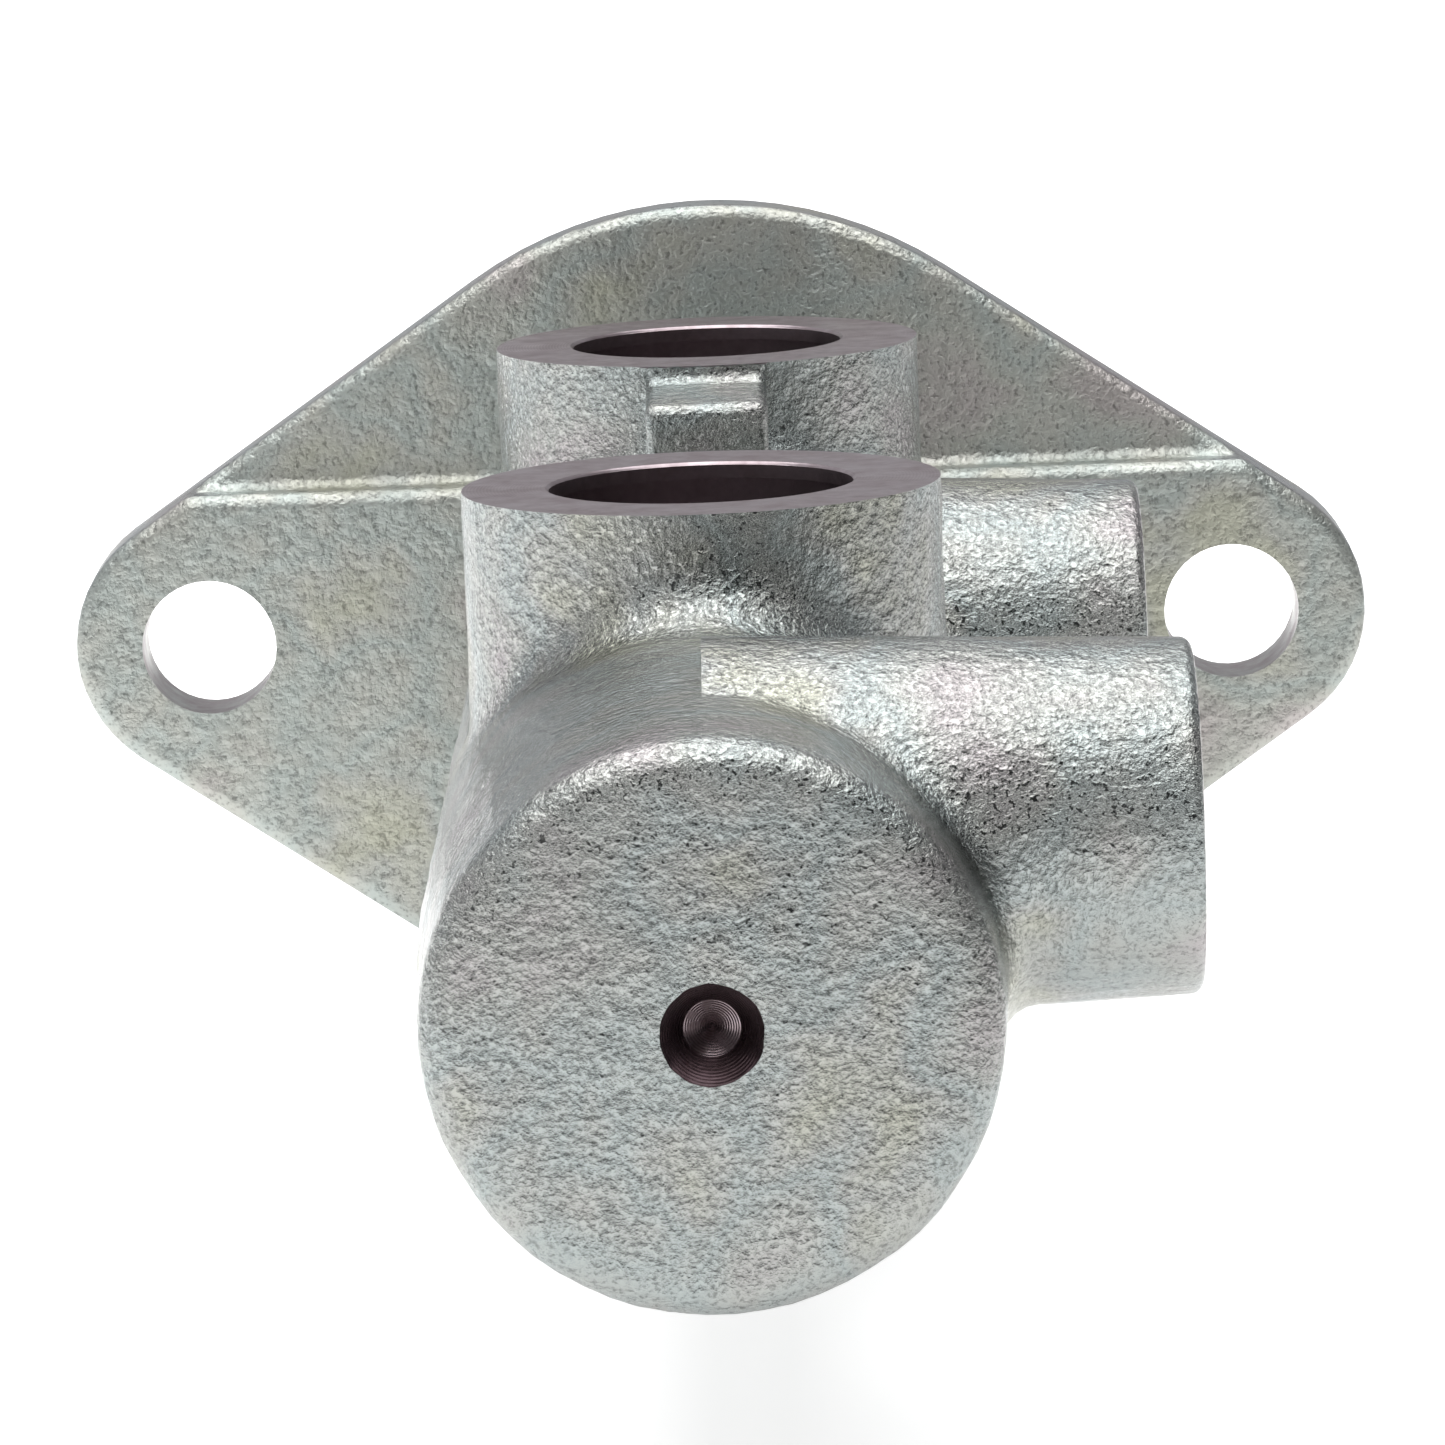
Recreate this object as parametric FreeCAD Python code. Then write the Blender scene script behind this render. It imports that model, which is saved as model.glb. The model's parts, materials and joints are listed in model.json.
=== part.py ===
"""Tandem brake master cylinder with a two-stud flange: one solid per physical piece, in millimetres.

Frame: the origin is the centre of the flange's mounting face, on the bore's axis. +Y runs along the
bore towards the pushrod, so the closed end is at negative Y. +Z points up to the reservoir inlets and
+X points the way the brake-pipe outlets face.
"""
import FreeCAD, Part
import math
import os

V = FreeCAD.Vector

# ---- flange -------------------------------------------------------------------------------------
STUD_SPACING = 80.0            # between the two stud holes
STUD_HOLE_RADIUS = 5.25        # clears an M10 stud
FLANGE_THICKNESS = 7.0         # pad around the studs
FLANGE_STEP = 2.5              # the upper part is thinner by this
LEDGE_HEIGHT = 11.9            # height of the step above the bore's axis
LEDGE_ROOT_ROUND = 1.1
LEDGE_EDGE_ROUND = 1.35
FLANGE_CENTRE_RADIUS = 33.0
FLANGE_EAR_RADIUS = 10.5
FLANGE_EDGE_ROUND = 1.2

# ---- barrel and bore ----------------------------------------------------------------------------
BORE_RADIUS = 11.905           # 15/16 inch bore
BARREL_WALL = 6.5
NOSE_DRAFT = 0.9               # the barrel's radius shrinks by this towards the closed end
NOSE_TAPER_LENGTH = 23.0
NOSE_TAPER_ROUND = 60.0        # eases the taper into the plain barrel
NOSE_EDGE_ROUND = 2.3
NOSE_DOME = 0.9                # the closed end's middle stands this far ahead of its rim
END_WALL = 7.6
BORE_END_CHAMFER = 1.0
BORE_MOUTH_Y = 8.0             # rear end of the honed bore, inside the spigot
BORE_MOUTH_CHAMFER = 0.5
CUT_OVERRUN = 1.0              # how far a cut runs past the metal it removes
FIT_CHECK = 0.001              # how far an edge may lie from the place it is looked for

# ---- inlets (reservoir) and outlets (brake pipes) ------------------------------------------------
REAR_INLET_SETBACK = 33.0      # mounting face to rear inlet
INLET_SPACING = 80.0
INLET_TO_CLOSED_END = 56.3     # front inlet to the outside of the closed end
INLET_RADIUS = 15.7
INLET_TOP = 25.7               # machined face above the bore's axis
INLET_BORE_RADIUS = 10.0
INLET_CHAMFER = 0.2
INLET_LIP_LENGTH = 0.9         # plain lip between the chamfer and the groove
INLET_GROOVE_RADIUS = 11.0     # holds the grommet's bead
INLET_GROOVE_LENGTH = 2.8
INLET_FLOOR = 2.6              # wall left between the inlet's floor and the bore
INLET_ROOT_ROUND = 4.0
FRONT_OUTLET_LEAD = 34.0       # the outlet lies this far ahead of its inlet
REAR_OUTLET_LEAD = 40.0
OUTLET_HEIGHT = 8.4            # outlet axis above the bore's axis
OUTLET_END = 30.2              # outlet face from the bore's axis
OUTLET_END_RADIUS = 11.0
OUTLET_DRAFT_DEGREES = 2.2
OUTLET_ROOT_ROUND = 2.5
OUTLET_EDGE_ROUND = 0.8
OUTLET_THREAD_RADIUS = 5.5     # tapping radius for M12 x 1
OUTLET_THREAD_DEPTH = 13.0
OUTLET_MOUTH_CHAMFER = 0.7
OUTLET_RELIEF_RADIUS = 6.1     # run-out groove at the thread's bottom
OUTLET_RELIEF_SPARE = 0.3      # groove's length past the tube seat's tip
SEAT_RADIUS = 3.4
SEAT_POCKET_DEPTH = 3.6
SEAT_CONE_HEIGHT = 3.0
SEAT_TIP_WALL = 0.4
PASSAGE_RADIUS = 1.5
COMPENSATING_PORT_RADIUS = 0.35
COMPENSATING_PORT_LEAD = 2.6   # ahead of the inlet's centre
FILLING_PORT_RADIUS = 1.9

# ---- lug on the rear inlet ------------------------------------------------------------------------
LUG_WIDTH = 8.8
LUG_REACH = 7.6                # ahead of the inlet's wall
LUG_GAP = 0.1                  # top of its root round below the machined face
LUG_DROP = 1.2                 # lug top below the machined face, at the wall
LUG_SLOPE = 0.8                # further drop over its reach
LUG_ROOT_ROUND = 1.0
LUG_EDGE_ROUND = 0.9
LUG_SIDE_ROUND = 0.7
LUG_SINK = 2.0                 # how far it runs into the inlet's wall

# ---- closed end's turning centre ------------------------------------------------------------------
CENTRE_MOUTH_RADIUS = 3.15
CENTRE_DRILL_RADIUS = 1.75
CENTRE_TIP_RADIUS = 0.45
CENTRE_MOUTH_DEGREES = 30.0    # half of the 60 degree mouth
CENTRE_DRILL_DEGREES = 59.0    # half of the 118 degree drill point

# ---- spigot and rear seals ------------------------------------------------------------------------
SPIGOT_RADIUS = 19.0
SPIGOT_LENGTH = 20.0
SPIGOT_CHAMFER = 1.0
O_RING_THICKNESS = 2.7
O_RING_GROOVE_WIDTH = 3.2
O_RING_GROOVE_DEPTH = 1.35
O_RING_GROOVE_START = 1.8
O_RING_GROOVE_ROUND = 0.3
COUNTERBORE_RADIUS = 15.0
STOP_WASHER_THICKNESS = 1.5
VACUUM_SEAL_THICKNESS = 4.0
VACUUM_GROOVE_DEPTH = 2.2      # hollow behind the seal's lip
VACUUM_LIP_TIP = 0.9
VACUUM_LIP_ROOT = 1.6
VACUUM_RIM_TIP = 1.6
VACUUM_RIM_ROOT = 2.2
VACUUM_NOSE = 0.8
RUBBER_ROUND = 0.3
GUIDE_RING_THICKNESS = 3.0
SNAP_RING_THICKNESS = 1.4
SNAP_RING_WIDTH = 2.6
SNAP_GROOVE_DEPTH = 0.9
SNAP_RING_GAP_DEGREES = 50.0
SNAP_EAR_RADIUS = 1.7
SNAP_EAR_INSET = 0.2           # ear's centre outside the ring's inner edge
SNAP_EAR_HOLE_RADIUS = 0.8

# ---- strokes ----------------------------------------------------------------------------------------
SECONDARY_STROKE = 13.0
PRIMARY_STROKE = 14.0          # relative to the secondary piston

# ---- pistons and rubber -----------------------------------------------------------------------------
LIP_SETBACK = 0.8              # cup lip behind the compensating port's centre
CUP_LENGTH = 4.7
CUP_BASE = 1.9                 # solid rubber at the closed end of the U
CUP_HEEL_RELIEF = 0.25
CUP_OUTER_TIP = 1.0
CUP_OUTER_ROOT = 2.1
CUP_INNER_TIP = 0.9
CUP_INNER_ROOT = 1.3
CUP_INNER_SETBACK = 0.6        # inner lip behind the outer one
CUP_WASHER_THICKNESS = 0.6
FRONT_LAND_LENGTH = 2.2
FRONT_LAND_RELIEF = 0.4
FEED_HOLE_RADIUS = 0.9
FEED_HOLE_COUNT = 6
FEED_CIRCLE_SHIFT = 1.0        # holes lie this far outside the land's middle
PILOT_RADIUS = 4.6             # front spigot of each piston, inside the cup
PILOT_ROUND = 0.4
NECK_RADIUS = 7.5
SEPARATOR_LAND = 1.8
SEPARATOR_GROOVE = 4.2
REAR_CUP_START = -2.0
REAR_CUP_GROOVE = 5.0
REAR_LAND_LENGTH = 3.0
STEM_RADIUS = 9.0
STEM_SPARE = 1.5
STEM_END_ROUND = 0.8
SOCKET_RADIUS = 4.8
SOCKET_DEPTH = 22.0
SOCKET_CHAMFER = 0.6
SOCKET_CONE_DEPTH = 2.9
STOP_PIN_BORE_REACH = 3.2      # the pin's end inside the bore wall
STOP_PIN_FLAT = 0.9

# ---- springs, seats and the captive screw -----------------------------------------------------------
PRIMARY_WIRE_RADIUS = 1.25
PRIMARY_TURNS = 7.0
SECONDARY_WIRE_RADIUS = 1.0
SECONDARY_TURNS = 9.0
SEAT_SHEET = 1.0
SHEET_ROUND = 0.3
SEAT_BORE_GAP = 2.2            # spring seat's rim from the bore wall
SKIRT_INSET = 2.0              # skirt outside the pilot
RETAINER_TUBE_RADIUS = 6.2
RETAINER_TUBE_LENGTH = 16.0
RETAINER_ROUND = 0.4
SCREW_RADIUS = 2.0
SCREW_HOLE_SPARE = 1.0         # tapped hole's extra depth
SCREW_HEAD_RADIUS = 4.2
SCREW_HEAD_THICKNESS = 2.4
SCREW_HEAD_ROUND = 0.4
SCREW_COLLAR_RADIUS = 3.2
SCREW_COLLAR_THICKNESS = 1.2
SCREW_THREAD_LENGTH = 9.0

# ---- named clearances -------------------------------------------------------------------------------
RUNNING_GAP = 0.05             # radial, pistons and cups in the bore, stem in its seal and guide
ASSEMBLY_GAP = 0.03            # radial, pieces fitted into each other
TRAVEL_GAP = 0.5               # spare travel past each stroke
SCREW_SLIDE_GAP = 0.4          # radial, captive screw's shank in its retainer
HEAD_RECESS_GAP = 1.0          # radial, its head in the secondary piston's recess
WASHER_STEM_GAP = 0.2          # radial, primary piston's stem in the stop washer
SCREW_CATCH_GAP = 0.05         # captive screw's head from its retainer at rest

# ---- places along the bore worked out from the sizes ------------------------------------------------
BARREL_RADIUS = BORE_RADIUS + BARREL_WALL
NOSE_RADIUS = BARREL_RADIUS - NOSE_DRAFT
REAR_INLET_Y = -REAR_INLET_SETBACK
FRONT_INLET_Y = REAR_INLET_Y - INLET_SPACING
CLOSED_END_Y = FRONT_INLET_Y - INLET_TO_CLOSED_END
BORE_END_Y = CLOSED_END_Y + END_WALL
FRONT_OUTLET_Y = FRONT_INLET_Y - FRONT_OUTLET_LEAD
REAR_OUTLET_Y = REAR_INLET_Y - REAR_OUTLET_LEAD
INLET_FLOOR_Z = BORE_RADIUS + INLET_FLOOR
OUTLET_ROOT_RADIUS = OUTLET_END_RADIUS + OUTLET_END * math.tan(math.radians(OUTLET_DRAFT_DEGREES))
PISTON_RADIUS = BORE_RADIUS - RUNNING_GAP
SEAT_RIM_RADIUS = BORE_RADIUS - SEAT_BORE_GAP


class PistonFront:
    """Places of one piston's cup, washer, front land and spring seat, from its inlet's centre."""

    def __init__(self, inlet_y):
        self.port = inlet_y - COMPENSATING_PORT_LEAD
        self.lip = self.port + LIP_SETBACK
        self.washer = self.lip + CUP_LENGTH
        self.land = self.washer + CUP_WASHER_THICKNESS
        self.land_end = self.land + FRONT_LAND_LENGTH
        self.pilot_end = self.lip - ASSEMBLY_GAP
        self.seat_front = self.pilot_end - SEAT_SHEET
        self.filling = self.land_end + FILLING_PORT_RADIUS


SECONDARY = PistonFront(FRONT_INLET_Y)
PRIMARY = PistonFront(REAR_INLET_Y)
NECK_END = SECONDARY.land_end + 2.0 * FILLING_PORT_RADIUS + SECONDARY_STROKE + TRAVEL_GAP
SECONDARY_REAR_Y = NECK_END + 3.0 * SEPARATOR_LAND + 2.0 * SEPARATOR_GROOVE
RETAINER_CATCH_Y = SECONDARY_REAR_Y + RETAINER_TUBE_LENGTH - SEAT_SHEET
SCREW_HEAD_Y = RETAINER_CATCH_Y - SCREW_CATCH_GAP - SCREW_HEAD_THICKNESS
HEAD_RECESS_DEPTH = max(SECONDARY_REAR_Y - (SCREW_HEAD_Y - PRIMARY_STROKE), 0.0) + TRAVEL_GAP
VACUUM_SEAL_Y = BORE_MOUTH_Y + STOP_WASHER_THICKNESS
GUIDE_RING_Y = VACUUM_SEAL_Y + VACUUM_SEAL_THICKNESS
SNAP_RING_Y = GUIDE_RING_Y + GUIDE_RING_THICKNESS
STEM_END_Y = SNAP_RING_Y + SECONDARY_STROKE + PRIMARY_STROKE + STEM_SPARE

ALONG_BORE = V(0, 1, 0)
UP = V(0, 0, 1)
OUTWARD = V(1, 0, 0)


# ---- shape helpers ----------------------------------------------------------------------------------
def rounded_face(corners):
    """Flat face through (x, z, round) corners in the XZ plane, each corner rounded by its radius."""
    points = [V(x, 0, z) for x, z, _ in corners]
    starts, ends, arcs = [], [], []
    for i, (_, _, radius) in enumerate(corners):
        here = points[i]
        back = (points[i - 1] - here).normalize()
        on = (points[(i + 1) % len(points)] - here).normalize()
        if radius == 0:
            starts.append(here)
            ends.append(here)
            arcs.append(None)
            continue
        half = back.getAngle(on) / 2.0
        reach = radius / math.tan(half)
        middle = here + (back + on).normalize() * (radius / math.sin(half) - radius)
        starts.append(here + back * reach)
        ends.append(here + on * reach)
        arcs.append(Part.Arc(starts[i], middle, ends[i]).toShape())
    edges = []
    for i in range(len(corners)):
        if arcs[i]:
            edges.append(arcs[i])
        following = starts[(i + 1) % len(corners)]
        if ends[i].distanceToPoint(following) > FIT_CHECK:
            edges.append(Part.LineSegment(ends[i], following).toShape())
    return Part.Face(Part.Wire(edges))


def extruded_across(corners, width):
    """Solid through (along, height, round) corners, extruded across the bore about its middle plane."""
    solid = rounded_face(corners).extrude(V(0, width, 0))
    solid.Placement = FreeCAD.Placement(V(width / 2.0, 0, 0), FreeCAD.Rotation(UP, 90))
    return solid


def turned(profile, centre=V(0, 0, 0), axis=ALONG_BORE):
    """Solid turned about an axis from (along, radius) or (along, radius, round) corners."""
    corners = [(p[1], p[0], p[2] if len(p) > 2 else 0) for p in profile]
    solid = rounded_face(corners).revolve(V(0, 0, 0), UP, 360)
    solid.Placement = FreeCAD.Placement(centre, FreeCAD.Rotation(UP, axis))
    return solid


def rod(radius, start, end, centre=V(0, 0, 0), axis=ALONG_BORE):
    """Plain cylinder between two distances along an axis."""
    return Part.makeCylinder(radius, end - start, centre + axis * start, axis)


def ring(inner, outer, start, end):
    """Plain ring about the bore's axis."""
    return rod(outer, start, end).cut(rod(inner, start, end))


def curved_edges_on(shape, test):
    """Edges that aren't straight and whose sampled points all pass the test."""
    found = []
    for edge in shape.Edges:
        if edge.Curve.TypeId == "Part::GeomLine":
            continue
        samples = [edge.valueAt(t) for t in edge_parameters(edge)]
        if all(test(point) for point in samples):
            found.append(edge)
    return found


def edge_parameters(edge, count=7):
    """Parameters spread evenly inside an edge."""
    first, last = edge.ParameterRange
    return [first + (last - first) * (i + 0.5) / count for i in range(count)]


# ---- cylinder body ----------------------------------------------------------------------------------
def barrel():
    """Round casting around the bore, drafted towards its closed end, which is slightly domed."""
    taper_end = CLOSED_END_Y + NOSE_TAPER_LENGTH
    blank = turned([
        (CLOSED_END_Y, 0),
        (CLOSED_END_Y, NOSE_RADIUS),
        (taper_end, BARREL_RADIUS, NOSE_TAPER_ROUND),
        (-FLANGE_STEP, BARREL_RADIUS),
        (-FLANGE_STEP, 0),
    ])
    dome_radius = (NOSE_RADIUS ** 2 + NOSE_DOME ** 2) / (2.0 * NOSE_DOME)
    domed = blank.common(Part.makeSphere(dome_radius, V(0, CLOSED_END_Y + dome_radius, 0)))
    rim_y = CLOSED_END_Y + 2.0 * NOSE_DOME
    rim = [edge for edge in domed.Edges if edge.BoundBox.YMax < rim_y and edge.BoundBox.XLength > NOSE_RADIUS]
    return domed.makeFillet(NOSE_EDGE_ROUND, rim)


def flange_outline(thickness):
    """Diamond plate: a large centre round and two ear rounds joined by tangent lines."""
    reach = STUD_SPACING / 2.0
    lean = math.acos((FLANGE_CENTRE_RADIUS - FLANGE_EAR_RADIUS) / reach)
    across = V(math.cos(lean), 0, math.sin(lean))
    edges = []
    for side_x, side_z in ((1, 1), (-1, 1), (-1, -1), (1, -1)):
        normal = V(across.x * side_x, 0, across.z * side_z)
        on_centre = normal * FLANGE_CENTRE_RADIUS
        on_ear = V(side_x * reach, 0, 0) + normal * FLANGE_EAR_RADIUS
        edges.append(Part.LineSegment(on_centre, on_ear).toShape())
    for side in (1, -1):
        ear = V(side * reach, 0, 0)
        low = ear + V(across.x * side, 0, -across.z) * FLANGE_EAR_RADIUS
        high = ear + V(across.x * side, 0, across.z) * FLANGE_EAR_RADIUS
        tip = ear + V(side * FLANGE_EAR_RADIUS, 0, 0)
        edges.append(Part.Arc(low, tip, high).toShape())
        left = V(-across.x, 0, across.z * side) * FLANGE_CENTRE_RADIUS
        right = V(across.x, 0, across.z * side) * FLANGE_CENTRE_RADIUS
        edges.append(Part.Arc(left, V(0, 0, side * FLANGE_CENTRE_RADIUS), right).toShape())
    outline = Part.Wire(Part.__sortEdges__(edges))
    return Part.Face(outline).extrude(V(0, -thickness, 0))


def flange():
    """Thick pad across both studs and a thinner plate above a ledge, with one rounded front edge."""
    thin = FLANGE_THICKNESS - FLANGE_STEP
    front = -2.0 * FLANGE_THICKNESS
    top = 2.0 * FLANGE_CENTRE_RADIUS
    low = LEDGE_HEIGHT - LEDGE_EDGE_ROUND
    removed = extruded_across([
        (front, top, 0),
        (-thin, top, 0),
        (-thin, LEDGE_HEIGHT, LEDGE_ROOT_ROUND),
        (-FLANGE_THICKNESS, LEDGE_HEIGHT, LEDGE_EDGE_ROUND),
        (-FLANGE_THICKNESS, low, 0),
        (front, low, 0),
    ], 2.0 * STUD_SPACING)
    outline = flange_outline(FLANGE_THICKNESS)
    plate = outline.cut(removed)

    def on_front_rim(edge):
        middle = edge.valueAt(sum(edge.ParameterRange) / 2.0)
        return edge.BoundBox.YMax < -thin + FIT_CHECK and not outline.isInside(middle, FIT_CHECK, False)

    return plate.makeFillet(FLANGE_EDGE_ROUND, [edge for edge in plate.Edges if on_front_rim(edge)])


def with_inlet(body, inlet_y):
    """The barrel with one inlet boss and the round at its root."""
    boss = rod(INLET_RADIUS, 0, INLET_TOP, V(0, inlet_y, 0), UP)
    joined = body.fuse(boss)

    def at_root(point):
        off_axis = math.hypot(point.x, point.y - inlet_y)
        return abs(off_axis - INLET_RADIUS) < FIT_CHECK and point.z < INLET_TOP - FIT_CHECK

    return joined.makeFillet(INLET_ROOT_ROUND, curved_edges_on(joined, at_root))


def with_outlet(body, outlet_y):
    """The barrel with one outlet boss, which starts over the bore's axis, and the round at its root."""
    slope = math.tan(math.radians(OUTLET_DRAFT_DEGREES))
    boss = turned([
        (0, 0),
        (0, OUTLET_ROOT_RADIUS),
        (OUTLET_END, OUTLET_END_RADIUS, OUTLET_EDGE_ROUND),
        (OUTLET_END, 0),
    ], V(0, outlet_y, OUTLET_HEIGHT), OUTWARD)
    joined = body.fuse(boss)

    def at_root(point):
        off_axis = math.hypot(point.y - outlet_y, point.z - OUTLET_HEIGHT)
        on_cone = abs(off_axis - (OUTLET_ROOT_RADIUS - slope * point.x)) < FIT_CHECK
        return on_cone and FIT_CHECK < point.x < OUTLET_END - 2.0 * OUTLET_EDGE_ROUND

    return joined.makeFillet(OUTLET_ROOT_ROUND, curved_edges_on(joined, at_root))


def lug():
    """Small lug on the front of the rear inlet, with a rounded root, front and sides."""
    wall_y = REAR_INLET_Y - INLET_RADIUS
    front = wall_y - LUG_REACH
    top = INLET_TOP - LUG_DROP
    block = extruded_across([
        (wall_y + LUG_SINK, 0, 0),
        (wall_y + LUG_SINK, INLET_TOP - LUG_GAP, 0),
        (wall_y, INLET_TOP - LUG_GAP, 0),
        (wall_y, top, LUG_ROOT_ROUND),
        (front, top - LUG_SLOPE, LUG_EDGE_ROUND),
        (front, 0, 0),
    ], LUG_WIDTH)

    def along_the_top(edge):
        box = edge.BoundBox
        return box.YLength > LUG_REACH / 2.0 and 0.0 < box.ZMin and box.ZLength > FIT_CHECK

    return block.makeFillet(LUG_SIDE_ROUND, [edge for edge in block.Edges if along_the_top(edge)])


def spigot():
    """Round spigot behind the flange, with the O-ring's groove."""
    groove_end = O_RING_GROOVE_START + O_RING_GROOVE_WIDTH
    bottom = SPIGOT_RADIUS - O_RING_GROOVE_DEPTH
    return turned([
        (-FLANGE_STEP, 0),
        (-FLANGE_STEP, SPIGOT_RADIUS),
        (O_RING_GROOVE_START, SPIGOT_RADIUS),
        (O_RING_GROOVE_START, bottom, O_RING_GROOVE_ROUND),
        (groove_end, bottom, O_RING_GROOVE_ROUND),
        (groove_end, SPIGOT_RADIUS),
        (SPIGOT_LENGTH - SPIGOT_CHAMFER, SPIGOT_RADIUS),
        (SPIGOT_LENGTH, SPIGOT_RADIUS - SPIGOT_CHAMFER),
        (SPIGOT_LENGTH, 0),
    ])


def bore_cut():
    """Everything turned along the axis: bore, counterbore and snap ring groove."""
    groove = COUNTERBORE_RADIUS + SNAP_GROOVE_DEPTH
    return turned([
        (BORE_END_Y, 0),
        (BORE_END_Y, BORE_RADIUS - BORE_END_CHAMFER),
        (BORE_END_Y + BORE_END_CHAMFER, BORE_RADIUS),
        (BORE_MOUTH_Y, BORE_RADIUS),
        (BORE_MOUTH_Y, COUNTERBORE_RADIUS),
        (SNAP_RING_Y, COUNTERBORE_RADIUS),
        (SNAP_RING_Y, groove),
        (SNAP_RING_Y + SNAP_RING_THICKNESS, groove),
        (SNAP_RING_Y + SNAP_RING_THICKNESS, COUNTERBORE_RADIUS),
        (SPIGOT_LENGTH - BORE_MOUTH_CHAMFER, COUNTERBORE_RADIUS),
        (SPIGOT_LENGTH, COUNTERBORE_RADIUS + BORE_MOUTH_CHAMFER),
        (SPIGOT_LENGTH + CUT_OVERRUN, COUNTERBORE_RADIUS + BORE_MOUTH_CHAMFER),
        (SPIGOT_LENGTH + CUT_OVERRUN, 0),
    ])


def inlet_cut(front):
    """One inlet's bore with its grommet groove, and the two small ports in its floor."""
    inlet_y = front.port + COMPENSATING_PORT_LEAD
    mouth = INLET_TOP - INLET_CHAMFER
    groove_top = mouth - INLET_LIP_LENGTH
    groove_low = groove_top - INLET_GROOVE_LENGTH
    bore = turned([
        (INLET_FLOOR_Z, 0),
        (INLET_FLOOR_Z, INLET_BORE_RADIUS),
        (groove_low, INLET_BORE_RADIUS),
        (groove_low, INLET_GROOVE_RADIUS),
        (groove_top, INLET_GROOVE_RADIUS),
        (groove_top, INLET_BORE_RADIUS),
        (mouth, INLET_BORE_RADIUS),
        (INLET_TOP, INLET_BORE_RADIUS + INLET_CHAMFER),
        (INLET_TOP + CUT_OVERRUN, INLET_BORE_RADIUS + INLET_CHAMFER),
        (INLET_TOP + CUT_OVERRUN, 0),
    ], V(0, inlet_y, 0), UP)
    compensating = rod(COMPENSATING_PORT_RADIUS, 0, INLET_FLOOR_Z + CUT_OVERRUN, V(0, front.port, 0), UP)
    filling = rod(FILLING_PORT_RADIUS, 0, INLET_FLOOR_Z + CUT_OVERRUN, V(0, front.filling, 0), UP)
    return bore.fuse(compensating).fuse(filling)


def outlet_cut(outlet_y):
    """One outlet's tapped hole, pocket for its tube seat, and the passage into the bore."""
    thread_end = OUTLET_END - OUTLET_THREAD_DEPTH
    relief_end = thread_end + SEAT_CONE_HEIGHT + OUTLET_RELIEF_SPARE
    mouth = OUTLET_END - OUTLET_MOUTH_CHAMFER
    flared = OUTLET_THREAD_RADIUS + OUTLET_MOUTH_CHAMFER
    return turned([
        (0, 0),
        (0, PASSAGE_RADIUS),
        (thread_end - SEAT_POCKET_DEPTH, PASSAGE_RADIUS),
        (thread_end - SEAT_POCKET_DEPTH, SEAT_RADIUS + ASSEMBLY_GAP),
        (thread_end, SEAT_RADIUS + ASSEMBLY_GAP),
        (thread_end, OUTLET_RELIEF_RADIUS),
        (relief_end, OUTLET_RELIEF_RADIUS),
        (relief_end, OUTLET_THREAD_RADIUS),
        (mouth, OUTLET_THREAD_RADIUS),
        (OUTLET_END, flared),
        (OUTLET_END + CUT_OVERRUN, flared),
        (OUTLET_END + CUT_OVERRUN, 0),
    ], V(0, outlet_y, OUTLET_HEIGHT), OUTWARD)


def centre_cut():
    """Turning centre in the closed end: a 60 degree mouth and a drill point."""
    mouth_slope = math.tan(math.radians(CENTRE_MOUTH_DEGREES))
    drill_slope = math.tan(math.radians(CENTRE_DRILL_DEGREES))
    mouth_depth = (CENTRE_MOUTH_RADIUS - CENTRE_DRILL_RADIUS) / mouth_slope
    tip_depth = (CENTRE_DRILL_RADIUS - CENTRE_TIP_RADIUS) / drill_slope
    return turned([
        (CLOSED_END_Y - CUT_OVERRUN, 0),
        (CLOSED_END_Y - CUT_OVERRUN, CENTRE_MOUTH_RADIUS),
        (CLOSED_END_Y, CENTRE_MOUTH_RADIUS),
        (CLOSED_END_Y + mouth_depth, CENTRE_DRILL_RADIUS),
        (CLOSED_END_Y + mouth_depth + tip_depth, CENTRE_TIP_RADIUS),
        (CLOSED_END_Y + mouth_depth + tip_depth + CENTRE_TIP_RADIUS, 0),
    ])


def cylinder_body():
    """The casting, machined."""
    blank = barrel()
    pieces = [with_inlet(blank, y) for y in (FRONT_INLET_Y, REAR_INLET_Y)]
    pieces += [with_outlet(blank, y) for y in (FRONT_OUTLET_Y, REAR_OUTLET_Y)]
    pieces += [flange(), spigot(), lug()]
    casting = pieces[0]
    for piece in pieces[1:]:
        casting = casting.fuse(piece)
    cuts = [inlet_cut(SECONDARY), inlet_cut(PRIMARY), centre_cut()]
    cuts += [outlet_cut(y) for y in (FRONT_OUTLET_Y, REAR_OUTLET_Y)]
    for side in (-1, 1):
        place = V(side * STUD_SPACING / 2.0, 0, 0)
        cuts.append(rod(STUD_HOLE_RADIUS, -FLANGE_THICKNESS - CUT_OVERRUN, CUT_OVERRUN, place))
    casting = casting.cut(bore_cut())
    for cut in cuts:
        casting = casting.cut(cut)
    return casting


def tube_seat(outlet_y):
    """Drilled cone at the bottom of an outlet, which the pipe's flare seals on."""
    base = OUTLET_END - OUTLET_THREAD_DEPTH - SEAT_POCKET_DEPTH
    rim = OUTLET_END - OUTLET_THREAD_DEPTH
    tip = PASSAGE_RADIUS + SEAT_TIP_WALL
    return turned([
        (base, PASSAGE_RADIUS),
        (base, SEAT_RADIUS),
        (rim, SEAT_RADIUS),
        (rim + SEAT_CONE_HEIGHT, tip),
        (rim + SEAT_CONE_HEIGHT, PASSAGE_RADIUS),
    ], V(0, outlet_y, OUTLET_HEIGHT), OUTWARD)


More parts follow.
